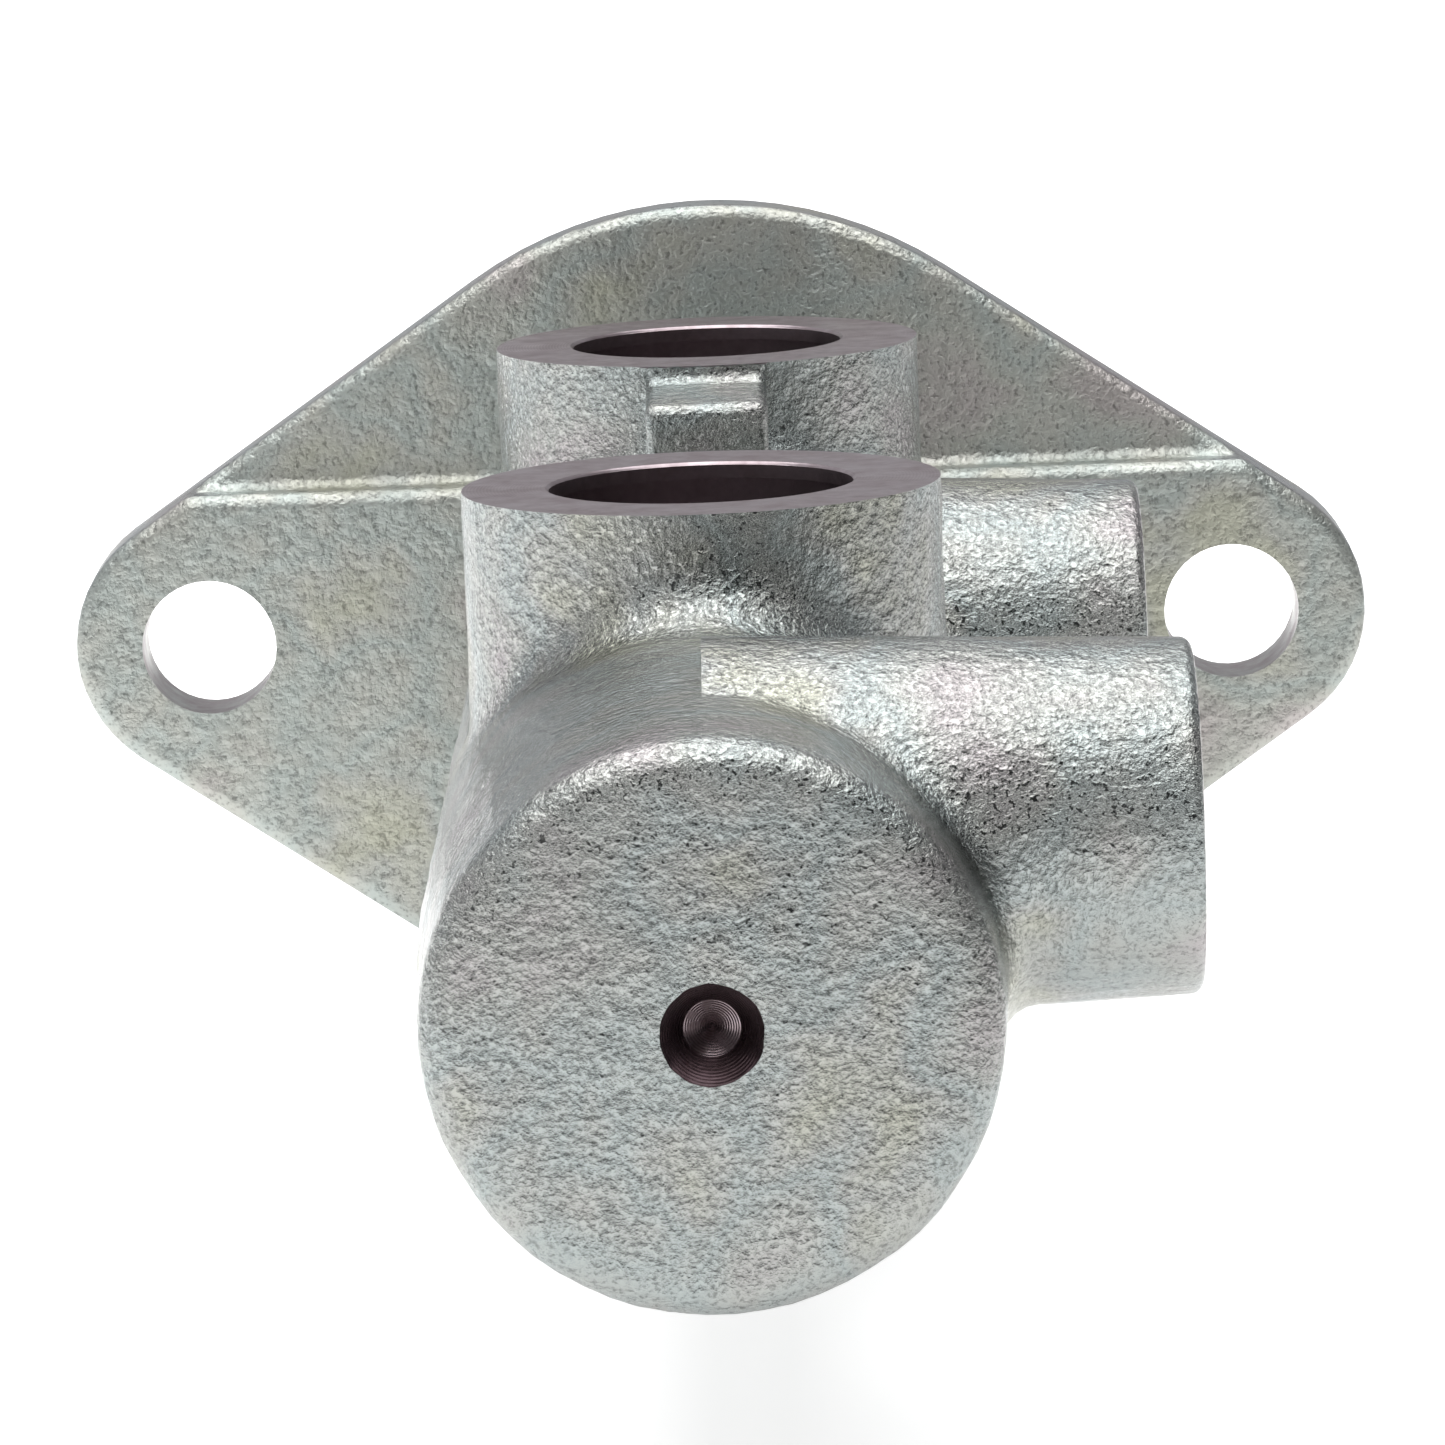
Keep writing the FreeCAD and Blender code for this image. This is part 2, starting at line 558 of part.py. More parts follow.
def stop_pin():
    """Pin pressed into the front inlet's floor: the secondary piston's land rests against it.

    One side is flat, so that fluid still passes down its hole.
    """
    radius = FILLING_PORT_RADIUS - ASSEMBLY_GAP
    low = BORE_RADIUS - STOP_PIN_BORE_REACH
    centre = V(0, SECONDARY.filling, 0)
    pin = rod(radius, low, INLET_FLOOR_Z, centre, UP)
    flat = Part.makeBox(STOP_PIN_FLAT, 4.0 * radius, INLET_FLOOR_Z)
    flat.translate(V(radius - STOP_PIN_FLAT, SECONDARY.filling - 2.0 * radius, low))
    return pin.cut(flat)


# ---- rear seals -------------------------------------------------------------------------------------
def spigot_o_ring():
    """Round-section seal in the spigot's groove."""
    half = O_RING_THICKNESS / 2.0
    middle = O_RING_GROOVE_START + O_RING_GROOVE_WIDTH / 2.0
    radius = SPIGOT_RADIUS - O_RING_GROOVE_DEPTH + half + ASSEMBLY_GAP
    return Part.makeTorus(radius, half, V(0, middle, 0), ALONG_BORE)


def stop_washer():
    """Steel washer at the bore's mouth: the primary piston's shoulder rests on it."""
    outer = COUNTERBORE_RADIUS - ASSEMBLY_GAP
    return ring(STEM_RADIUS + WASHER_STEM_GAP, outer, BORE_MOUTH_Y, VACUUM_SEAL_Y)


def vacuum_seal():
    """Rubber lip seal around the primary piston's stem."""
    inner = STEM_RADIUS + RUNNING_GAP
    outer = COUNTERBORE_RADIUS - ASSEMBLY_GAP
    return turned([
        (VACUUM_SEAL_Y, inner + VACUUM_NOSE),
        (VACUUM_SEAL_Y, outer, RUBBER_ROUND),
        (GUIDE_RING_Y, outer, RUBBER_ROUND),
        (GUIDE_RING_Y, outer - VACUUM_RIM_TIP),
        (GUIDE_RING_Y - VACUUM_GROOVE_DEPTH, outer - VACUUM_RIM_ROOT),
        (GUIDE_RING_Y - VACUUM_GROOVE_DEPTH, inner + VACUUM_LIP_ROOT),
        (GUIDE_RING_Y, inner + VACUUM_LIP_TIP),
        (GUIDE_RING_Y, inner),
    ])


def guide_ring():
    """Nylon bearing ring for the primary piston's stem."""
    return ring(STEM_RADIUS + RUNNING_GAP, COUNTERBORE_RADIUS - ASSEMBLY_GAP, GUIDE_RING_Y, SNAP_RING_Y)


def snap_ring():
    """Internal snap ring with two eared ends, its gap at the bottom."""
    outer = COUNTERBORE_RADIUS + SNAP_GROOVE_DEPTH - ASSEMBLY_GAP
    inner = outer - SNAP_RING_WIDTH
    end_y = SNAP_RING_Y + SNAP_RING_THICKNESS - ASSEMBLY_GAP
    band = ring(inner, outer, SNAP_RING_Y, end_y)
    half = math.radians(SNAP_RING_GAP_DEGREES / 2.0)
    reach = 2.0 * outer
    before = SNAP_RING_Y - CUT_OVERRUN
    gap = Part.Face(Part.makePolygon([
        V(0, before, 0),
        V(reach * math.sin(half), before, -reach * math.cos(half)),
        V(-reach * math.sin(half), before, -reach * math.cos(half)),
        V(0, before, 0),
    ])).extrude(V(0, SNAP_RING_THICKNESS + 2.0 * CUT_OVERRUN, 0))
    band = band.cut(gap)
    ear_angle = half + SNAP_EAR_RADIUS / inner
    for side in (-1, 1):
        middle = inner + SNAP_EAR_INSET
        place = V(side * middle * math.sin(ear_angle), 0, -middle * math.cos(ear_angle))
        ear = rod(SNAP_EAR_RADIUS, SNAP_RING_Y, end_y, place)
        band = band.fuse(ear.common(rod(outer, SNAP_RING_Y, end_y)))
        band = band.cut(rod(SNAP_EAR_HOLE_RADIUS, SNAP_RING_Y - CUT_OVERRUN, end_y + CUT_OVERRUN, place))
    return band


# ---- piston groups ----------------------------------------------------------------------------------
def cup(lip_y, length, inner, outer, facing):
    """U-section rubber cup. Facing -1 opens towards the closed end, 1 towards the pushrod."""
    profile = [
        (0, outer),
        (length, outer - CUP_HEEL_RELIEF),
        (length, inner),
        (CUP_INNER_SETBACK, inner),
        (CUP_INNER_SETBACK, inner + CUP_INNER_TIP),
        (length - CUP_BASE, inner + CUP_INNER_ROOT),
        (length - CUP_BASE, outer - CUP_OUTER_ROOT),
        (0, outer - CUP_OUTER_TIP),
    ]
    return turned([(lip_y - facing * along, radius) for along, radius in profile])


def cup_washer(front):
    """Thin washer that keeps the cup out of the land's feed holes."""
    outer = BORE_RADIUS - FRONT_LAND_RELIEF
    return ring(PILOT_RADIUS + ASSEMBLY_GAP, outer, front.washer, front.land)


def spring_seat(front, hole_radius):
    """Pressed sheet seat: a rim for the spring and a skirt that holds the cup's base."""
    skirt_inner = PILOT_RADIUS + SKIRT_INSET
    skirt_outer = skirt_inner + SEAT_SHEET
    cup_base = front.lip + CUP_LENGTH - CUP_BASE
    seat = turned([
        (front.seat_front, 0),
        (front.seat_front, SEAT_RIM_RADIUS, SHEET_ROUND),
        (front.pilot_end, SEAT_RIM_RADIUS, SHEET_ROUND),
        (front.pilot_end, skirt_outer),
        (cup_base - ASSEMBLY_GAP, skirt_outer),
        (cup_base - ASSEMBLY_GAP, skirt_inner),
        (front.pilot_end, skirt_inner),
        (front.pilot_end, 0),
    ])
    if hole_radius:
        return seat.cut(rod(hole_radius, front.seat_front - CUT_OVERRUN, front.pilot_end + CUT_OVERRUN))
    return seat


def feed_holes(front):
    """Axial holes through a front land."""
    circle = (PILOT_RADIUS + BORE_RADIUS) / 2.0 + FEED_CIRCLE_SHIFT
    holes = []
    for i in range(FEED_HOLE_COUNT):
        turn = 2.0 * math.pi * (i + 0.5) / FEED_HOLE_COUNT
        place = V(circle * math.cos(turn), 0, circle * math.sin(turn))
        holes.append(rod(FEED_HOLE_RADIUS, front.land - CUT_OVERRUN, front.land_end + CUT_OVERRUN, place))
    return holes


def secondary_piston():
    """Front piston: pilot, front land, neck around the stop pin, and two separator seal grooves."""
    land = BORE_RADIUS - FRONT_LAND_RELIEF
    profile = [
        (SECONDARY.pilot_end, 0),
        (SECONDARY.pilot_end, PILOT_RADIUS, PILOT_ROUND),
        (SECONDARY.land, PILOT_RADIUS),
        (SECONDARY.land, land),
        (SECONDARY.land_end, land),
        (SECONDARY.land_end, NECK_RADIUS),
    ]
    place = NECK_END
    for number in range(3):
        profile.append((place, NECK_RADIUS))
        profile.append((place, PISTON_RADIUS))
        place += SEPARATOR_LAND
        profile.append((place, PISTON_RADIUS))
        if number < 2:
            profile.append((place, NECK_RADIUS))
            place += SEPARATOR_GROOVE
    recess = SCREW_HEAD_RADIUS + HEAD_RECESS_GAP
    profile += [
        (SECONDARY_REAR_Y, recess),
        (SECONDARY_REAR_Y - HEAD_RECESS_DEPTH, recess),
        (SECONDARY_REAR_Y - HEAD_RECESS_DEPTH, 0),
    ]
    piston = turned(profile)
    for hole in feed_holes(SECONDARY):
        piston = piston.cut(hole)
    return piston


def separator_cup(number, facing):
    """Cup in the secondary piston's groove: number 0 is the front one."""
    start = NECK_END + SEPARATOR_LAND + number * (SEPARATOR_GROOVE + SEPARATOR_LAND)
    length = SEPARATOR_GROOVE - 2.0 * ASSEMBLY_GAP
    lip = start + ASSEMBLY_GAP if facing < 0 else start + ASSEMBLY_GAP + length
    return cup(lip, length, NECK_RADIUS + ASSEMBLY_GAP, PISTON_RADIUS, facing)


def primary_spring_retainer():
    """Stamped thimble on the secondary piston's rear face, which catches the captive screw's head."""
    outer = RETAINER_TUBE_RADIUS
    inner = outer - SEAT_SHEET
    tube_end = SECONDARY_REAR_Y + RETAINER_TUBE_LENGTH
    return turned([
        (SECONDARY_REAR_Y, inner),
        (SECONDARY_REAR_Y, SEAT_RIM_RADIUS),
        (SECONDARY_REAR_Y + SEAT_SHEET, SEAT_RIM_RADIUS),
        (SECONDARY_REAR_Y + SEAT_SHEET, outer),
        (tube_end, outer, RETAINER_ROUND),
        (tube_end, SCREW_RADIUS + SCREW_SLIDE_GAP),
        (RETAINER_CATCH_Y, SCREW_RADIUS + SCREW_SLIDE_GAP),
        (RETAINER_CATCH_Y, inner),
    ])


def captive_screw():
    """Screw in the primary piston's front that limits how far its spring pushes the pistons apart."""
    collar = PRIMARY.seat_front - SCREW_COLLAR_THICKNESS
    return turned([
        (SCREW_HEAD_Y, 0),
        (SCREW_HEAD_Y, SCREW_HEAD_RADIUS, SCREW_HEAD_ROUND),
        (SCREW_HEAD_Y + SCREW_HEAD_THICKNESS, SCREW_HEAD_RADIUS),
        (SCREW_HEAD_Y + SCREW_HEAD_THICKNESS, SCREW_RADIUS),
        (collar, SCREW_RADIUS),
        (collar, SCREW_COLLAR_RADIUS),
        (PRIMARY.seat_front, SCREW_COLLAR_RADIUS),
        (PRIMARY.seat_front, SCREW_RADIUS),
        (PRIMARY.seat_front + SCREW_THREAD_LENGTH, SCREW_RADIUS),
        (PRIMARY.seat_front + SCREW_THREAD_LENGTH, 0),
    ])


def primary_piston():
    """Rear piston: pilot, front land, neck, rear land with its cup groove, stem and pushrod socket."""
    land = BORE_RADIUS - FRONT_LAND_RELIEF
    rear_land = REAR_CUP_START - REAR_LAND_LENGTH
    groove_end = REAR_CUP_START + REAR_CUP_GROOVE
    socket_floor = STEM_END_Y - SOCKET_DEPTH
    screw_hole = SCREW_RADIUS + ASSEMBLY_GAP
    hole_end = PRIMARY.seat_front + SCREW_THREAD_LENGTH + SCREW_HOLE_SPARE
    piston = turned([
        (hole_end, 0),
        (hole_end, screw_hole),
        (PRIMARY.pilot_end, screw_hole),
        (PRIMARY.pilot_end, PILOT_RADIUS, PILOT_ROUND),
        (PRIMARY.land, PILOT_RADIUS),
        (PRIMARY.land, land),
        (PRIMARY.land_end, land),
        (PRIMARY.land_end, NECK_RADIUS),
        (rear_land, NECK_RADIUS),
        (rear_land, PISTON_RADIUS),
        (REAR_CUP_START, PISTON_RADIUS),
        (REAR_CUP_START, NECK_RADIUS),
        (groove_end, NECK_RADIUS),
        (groove_end, PISTON_RADIUS),
        (BORE_MOUTH_Y, PISTON_RADIUS),
        (BORE_MOUTH_Y, STEM_RADIUS),
        (STEM_END_Y, STEM_RADIUS, STEM_END_ROUND),
        (STEM_END_Y, SOCKET_RADIUS + SOCKET_CHAMFER),
        (STEM_END_Y - SOCKET_CHAMFER, SOCKET_RADIUS),
        (socket_floor, SOCKET_RADIUS),
        (socket_floor - SOCKET_CONE_DEPTH, 0),
    ])
    for hole in feed_holes(PRIMARY):
        piston = piston.cut(hole)
    return piston


def rear_cup():
    """Rubber cup in the primary piston's rear groove."""
    length = REAR_CUP_GROOVE - 2.0 * ASSEMBLY_GAP
    return cup(REAR_CUP_START + ASSEMBLY_GAP, length, NECK_RADIUS + ASSEMBLY_GAP, PISTON_RADIUS, -1)


def coil_spring(start, end, mean_radius, wire_radius, turns):
    """Round-wire spring with ground ends, between two places along the bore."""
    length = end - start
    pitch = length / turns
    helix = Part.makeHelix(pitch, length + 2.0 * pitch, mean_radius)
    section = Part.Wire(Part.makeCircle(wire_radius, V(mean_radius, 0, 0), V(0, 1, 0)))
    wire = Part.Wire(helix).makePipeShell([section], True, True)
    wire.translate(V(0, 0, -pitch))
    slab = Part.makeCylinder(mean_radius + 2.0 * wire_radius, length)
    spring = wire.common(slab)
    spring.Placement = FreeCAD.Placement(V(0, start, 0), FreeCAD.Rotation(UP, ALONG_BORE))
    return spring


def secondary_spring():
    """Spring from the bore's end to the secondary piston's seat."""
    mean = SEAT_RIM_RADIUS - SECONDARY_WIRE_RADIUS
    return coil_spring(BORE_END_Y, SECONDARY.seat_front, mean, SECONDARY_WIRE_RADIUS, SECONDARY_TURNS)


def primary_spring():
    """Stiffer spring between the two pistons, caged by the captive screw."""
    mean = SEAT_RIM_RADIUS - PRIMARY_WIRE_RADIUS
    start = SECONDARY_REAR_Y + SEAT_SHEET
    return coil_spring(start, PRIMARY.seat_front, mean, PRIMARY_WIRE_RADIUS, PRIMARY_TURNS)


def all_nodes():
    """Every piece by its node name."""
    cup_inner = PILOT_RADIUS + ASSEMBLY_GAP
    return {
        "cylinder_body": cylinder_body(),
        "outlet_seat_front": tube_seat(FRONT_OUTLET_Y),
        "outlet_seat_rear": tube_seat(REAR_OUTLET_Y),
        "stop_pin": stop_pin(),
        "spigot_o_ring": spigot_o_ring(),
        "stop_washer": stop_washer(),
        "vacuum_seal": vacuum_seal(),
        "guide_ring": guide_ring(),
        "snap_ring": snap_ring(),
        "secondary_spring": secondary_spring(),
        "secondary_spring_seat": spring_seat(SECONDARY, 0),
        "secondary_cup": cup(SECONDARY.lip, CUP_LENGTH, cup_inner, PISTON_RADIUS, -1),
        "secondary_cup_washer": cup_washer(SECONDARY),
        "secondary_piston": secondary_piston(),
        "separator_cup_front": separator_cup(0, -1),
        "separator_cup_rear": separator_cup(1, 1),
        "primary_spring_retainer": primary_spring_retainer(),
        "primary_spring": primary_spring(),
        "captive_screw": captive_screw(),
        "primary_spring_seat": spring_seat(PRIMARY, SCREW_RADIUS + ASSEMBLY_GAP),
        "primary_cup": cup(PRIMARY.lip, CUP_LENGTH, cup_inner, PISTON_RADIUS, -1),
        "primary_cup_washer": cup_washer(PRIMARY),
        "primary_piston": primary_piston(),
        "rear_cup": rear_cup(),
    }


def main():
    os.makedirs("parts", exist_ok=True)
    for name, shape in all_nodes().items():
        shape.exportStep(os.path.join("parts", name + ".step"))
        box = shape.BoundBox
        print(f"{name}: valid {shape.isValid()}, solids {len(shape.Solids)}, "
              f"volume {shape.Volume:.1f}, y {box.YMin:.2f} to {box.YMax:.2f}")


main()
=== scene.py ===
"""Tandem brake master cylinder: casting, springs, finishes and studio, laid out as an add-on."""
import heapq
import json
import math

import bmesh
import bpy
from mathutils import Matrix, Vector, noise


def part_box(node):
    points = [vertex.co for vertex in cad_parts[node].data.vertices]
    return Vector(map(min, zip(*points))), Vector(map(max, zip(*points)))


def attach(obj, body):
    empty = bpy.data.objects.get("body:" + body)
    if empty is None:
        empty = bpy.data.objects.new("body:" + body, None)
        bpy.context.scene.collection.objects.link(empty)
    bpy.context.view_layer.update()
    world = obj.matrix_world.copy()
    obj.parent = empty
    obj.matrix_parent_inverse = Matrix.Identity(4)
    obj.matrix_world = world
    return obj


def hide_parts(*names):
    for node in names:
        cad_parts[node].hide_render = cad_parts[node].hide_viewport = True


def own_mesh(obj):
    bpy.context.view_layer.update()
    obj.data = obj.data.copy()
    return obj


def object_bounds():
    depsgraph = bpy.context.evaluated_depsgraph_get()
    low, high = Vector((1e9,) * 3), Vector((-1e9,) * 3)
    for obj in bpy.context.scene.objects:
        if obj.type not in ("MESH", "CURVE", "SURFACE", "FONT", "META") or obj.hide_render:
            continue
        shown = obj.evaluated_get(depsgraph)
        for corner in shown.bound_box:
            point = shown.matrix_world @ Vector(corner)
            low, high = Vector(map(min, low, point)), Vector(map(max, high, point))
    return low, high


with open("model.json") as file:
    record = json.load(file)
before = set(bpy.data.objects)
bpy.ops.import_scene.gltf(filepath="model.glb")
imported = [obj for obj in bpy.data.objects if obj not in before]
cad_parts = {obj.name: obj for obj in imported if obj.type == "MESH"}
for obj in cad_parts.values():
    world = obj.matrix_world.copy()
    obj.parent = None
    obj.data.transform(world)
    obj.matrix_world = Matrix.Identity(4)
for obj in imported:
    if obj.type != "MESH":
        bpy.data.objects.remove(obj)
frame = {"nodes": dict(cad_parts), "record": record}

bl_info = {
    "name": "Tandem master cylinder",
    "version": (1, 0, 0),
    "blender": (4, 5, 0),
    "location": "View3D > Sidebar > Cylinder",
    "description": "Builds the casting, springs, finishes and studio around the packed frame",
    "category": "Object",
}

# ---- places from the frame, in metres ---------------------------------------------------------------
CAD_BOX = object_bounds()
MM = 0.001
NODES = frame["nodes"]
MOUNTS = {mount["name"]: mount for mount in frame["record"]["mounts"]}
BODY_LOW, BODY_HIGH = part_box("cylinder_body")
CLOSED_END = BODY_LOW.y
STUD_REACH = MOUNTS["flange_bolts"]["dims"]["spacing_x_mm"] * MM / 2.0
STUD_HOLE_RADIUS = MOUNTS["flange_bolts"]["dims"]["hole_r_mm"] * MM


def mount_place(name):
    """A mount's point and radius."""
    mount = MOUNTS[name]
    return Vector(mount["pos_m"]), mount["dims"]["r_mm"] * MM


INLETS = [mount_place("inlet_front"), mount_place("inlet_rear")]
OUTLETS = [mount_place("outlet_front"), mount_place("outlet_rear")]

# Limits between the casting's differently finished faces
FIT = 0.05 * MM                           # how far a face may lie from a turned plane
CENTRE_FIT = 0.2 * FIT                    # the same on the closed end
GROOVE = 1.3 * MM                         # beads and run-out grooves end this far outside their bores
BOSS_WALL = 5.9 * MM                      # an inlet boss ends this far outside its bore
BARREL_REACH = 18.6 * MM                  # just outside the barrel
INLET_BOTTOM = BODY_HIGH.z * 0.42         # the turned part of an inlet is above this
OUTLET_BOTTOM = BARREL_REACH * 0.6        # the turned part of an outlet is outside this
OUTLET_BOSS_RATIO = 2.2                   # an outlet boss ends within this many hole radii
OUTLET_FACING = -0.5                      # outlet faces don't look back at the bore more than this
CENTRE_HOLE_RADIUS = 3.2 * MM
CENTRE_HOLE_DEPTH = 6.0 * MM
COUNTERBORE_RADIUS = 16.0 * MM
BACK_START = 0.96 * COUNTERBORE_RADIUS    # spigot and back face are outside this
FLANGE_FRONT = -7.3 * MM                  # the flange, with its rounded edge, is behind this
RIM_START = 1.2 * BARREL_REACH            # the flange's edge is outside this
RIM_FACING = 0.35                         # and looks along the barrel less than this

# Shape of the casting's skin
MERGE_DISTANCE = 0.002 * MM
SLIVER_LENGTH = 0.0005 * MM
FINE_CAST_SHARE = 0.55                    # unevenness of the flange and of borders between finishes
CHIP_RATIO = 0.4                          # small chips are this much narrower than the lumps
SHARP_ANGLE = math.radians(28.0)

# Springs
COIL_SECTION_SIDES = 14
COIL_STEPS_PER_TURN = 40
CLOSED_COIL_RATIO = 1.02                  # a closed end turn rises this many wire diameters
SPRINGS = [                               # node, body, joint, wire radius, turns with both closed ends
    ("secondary_spring", "housing", "secondary_piston_slide", 1.0 * MM, 10.0),
    ("primary_spring", "secondary_piston_group", "primary_piston_slide", 1.25 * MM, 8.0),
]

NOISE_LOW, NOISE_HIGH = 0.3, 0.7          # levels that soft noise hardly goes past

# Patterns of the cast, plated skin
LUMP_RATIO = 2.6                          # lumps are this many times wider than the grains on them
LUMP_HEIGHT = 5.0                         # and this many times higher
GRIT_DETAIL, GRIT_ROUGHNESS = 4.0, 0.62
PIT_FLOOR, GRAIN_TOP = 0.34, 0.58         # noise levels of a pit's flat floor and a grain's flat top
# painted shade: the pits' floors are darkened in the base colour, down to this share
PIT_EDGE, PIT_PAINTED_SHADE = 0.55, 0.58          # height where a pit's shading ends, and how dark its floor is
FILM_WIDTH, FILM_DETAIL = 13.0 * MM, 3.0
FILM_STOPS = (0.34, 0.43, 0.52, 0.58, 0.66)
BASE_SHARE = 0.2                          # how much of the base colour is laid over the film's tints
SHEEN_WIDTH = 6.0 * MM
SHEEN_RANGE = (-0.05, 0.07)               # change of roughness

# Patterns of turned metal
WOBBLE_WIDTH, WOBBLE_SHARE = 3.0 * MM, 0.6
STAIN_WIDTH, STAIN_DETAIL, STAIN_ROUGHNESS = 2.2 * MM, 3.0, 0.6
STAIN_LOW, STAIN_HIGH = 0.32, 0.68
# painted highlight: share of brightening painted onto the crests of the turning rings
CREST_PAINTED_HIGHLIGHT = 0.25                        # how much the crests of the rings are brightened
STAINED_RANGE = (0.08, -0.04)             # change of roughness, from stained to clean

# Patterns of moulded rubber and nylon
BLOOM_RATIO, BLOOM_DETAIL, BLOOM_ROUGHNESS = 6.0, 3.0, 0.6
BLOOM_LOW, BLOOM_HIGH, BLOOM_MOST = 0.35, 0.7, 0.5
BLOOM_DULLING = 0.12

# Studio
FLOOR_RADIUS, FLOOR_SIDES = 6.0, 96
FLOOR_GAP = 0.2 * MM
MOTTLE_WIDTH = 0.4
PAPER_ROUGHNESS = 0.9
# Each row holds where a change starts and ends, along Y or X, and the levels at those places
# painted shade on the floor: darker towards and behind the camera and to the right
FLOOR_PAINTED_SHADE_ALONG_Y = (-1.05, -0.35, 0.08, 1.0)
FLOOR_PAINTED_SHADE_ALONG_X = (-0.5, 0.5, 1.2, 0.45)
# painted light: the floor's glow, stronger further back
FLOOR_PAINTED_GLOW_ALONG_Y = (-0.2, 0.5, 0.78, 1.1)
ROOM_LIGHT_ALONG_Y = (-0.4, 0.7, 0.045, 0.44)
ROOM_LIGHT_ALONG_X = (-1.0, 0.0, 0.32, 0.0)
SENSOR_WIDTH = 36.0
NEAR_CLIP, FAR_CLIP = 0.01, 50.0


# ---- sizes and colours that a user would change -----------------------------------------------------
class CastingSettings(bpy.types.PropertyGroup):
    edge_length: bpy.props.FloatProperty(
        name="Mesh size", description="Longest edge on the as-cast skin", default=2.5 * MM, unit="LENGTH")
    swell: bpy.props.FloatProperty(
        name="Swell", description="Height of the slow waves that a sand mould leaves", default=0.09 * MM,
        unit="LENGTH")
    swell_width: bpy.props.FloatProperty(
        name="Swell width", description="Spacing of those waves", default=4.5 * MM, unit="LENGTH")
    lump: bpy.props.FloatProperty(
        name="Lump", description="Height of the smaller lumps", default=0.05 * MM, unit="LENGTH")
    lump_width: bpy.props.FloatProperty(
        name="Lump width", description="Spacing of the smaller lumps", default=2.4 * MM, unit="LENGTH")
    chipping: bpy.props.FloatProperty(
        name="Chipping", description="How far the turning centre's edge wanders on the cast skin",
        default=0.10 * MM, unit="LENGTH")


class FinishSettings(bpy.types.PropertyGroup):
    zinc: bpy.props.StringProperty(
        name="Zinc plate", description="Main colour of the plated casting", default="bcbeba")
    zinc_green: bpy.props.StringProperty(
        name="Blue-green tint", description="Passivated zinc where the film is blue-green", default="b5bebd")
    zinc_yellow: bpy.props.StringProperty(
        name="Yellow tint", description="Passivated zinc where the film is yellow", default="bfc0b2")
    zinc_pink: bpy.props.StringProperty(
        name="Pink tint", description="Passivated zinc where the film is pink", default="bdb7b8")
    zinc_olive: bpy.props.StringProperty(
        name="Flange zinc", description="Duller plate on the finer skin of the flange", default="bbb9a6")
    turned: bpy.props.StringProperty(
        name="Turned iron", description="Thin plate in the turned outlets, centre and bore", default="9d9094")
    bore: bpy.props.StringProperty(
        name="Bore", description="Stains inside the turned bore", default="57494a")
    inlet: bpy.props.StringProperty(
        name="Inlets", description="Thin plate on the turned inlets", default="a99ea2")
    inlet_stain: bpy.props.StringProperty(
        name="Inlet stains", description="Stains on the turned inlets", default="807376")
    back: bpy.props.StringProperty(
        name="Flange back", description="Plate on the turned back of the flange", default="b0aeaa")
    back_stain: bpy.props.StringProperty(
        name="Flange back stains", description="Stains on the turned back of the flange", default="9a9592")
    wire: bpy.props.StringProperty(
        name="Spring wire", description="Drawn spring wire", default="74757a")
    wire_stain: bpy.props.StringProperty(
        name="Spring wire hollows", description="Oiled hollows of the spring wire", default="3c3c40")
    anodised: bpy.props.StringProperty(
        name="Pistons", description="Anodised aluminium of the pistons", default="b3ad98")
    anodised_stain: bpy.props.StringProperty(
        name="Piston stains", description="Darker anodising on the pistons", default="958f7c")
    pressed: bpy.props.StringProperty(
        name="Pressed steel", description="Plate on the pressed washers, seats and clips", default="b9bbb8")
    pressed_stain: bpy.props.StringProperty(
        name="Pressed steel stains", description="Duller plate on the pressed parts", default="8d8f8e")
    brass: bpy.props.StringProperty(
        name="Brass", description="Turned brass of the tube seats", default="c9a45c")
    brass_stain: bpy.props.StringProperty(
        name="Brass stains", description="Tarnish on the tube seats", default="9a7436")
    rubber: bpy.props.StringProperty(
        name="Rubber", description="Moulded rubber of the seals", default="17171a")
    rubber_bloom: bpy.props.StringProperty(
        name="Rubber bloom", description="Pale bloom on the seals", default="2f2f31")
    nylon: bpy.props.StringProperty(
        name="Nylon", description="Moulded nylon of the guide ring", default="dcd6c4")
    nylon_bloom: bpy.props.StringProperty(
        name="Nylon bloom", description="Duller patches on the guide ring", default="cbc4ae")


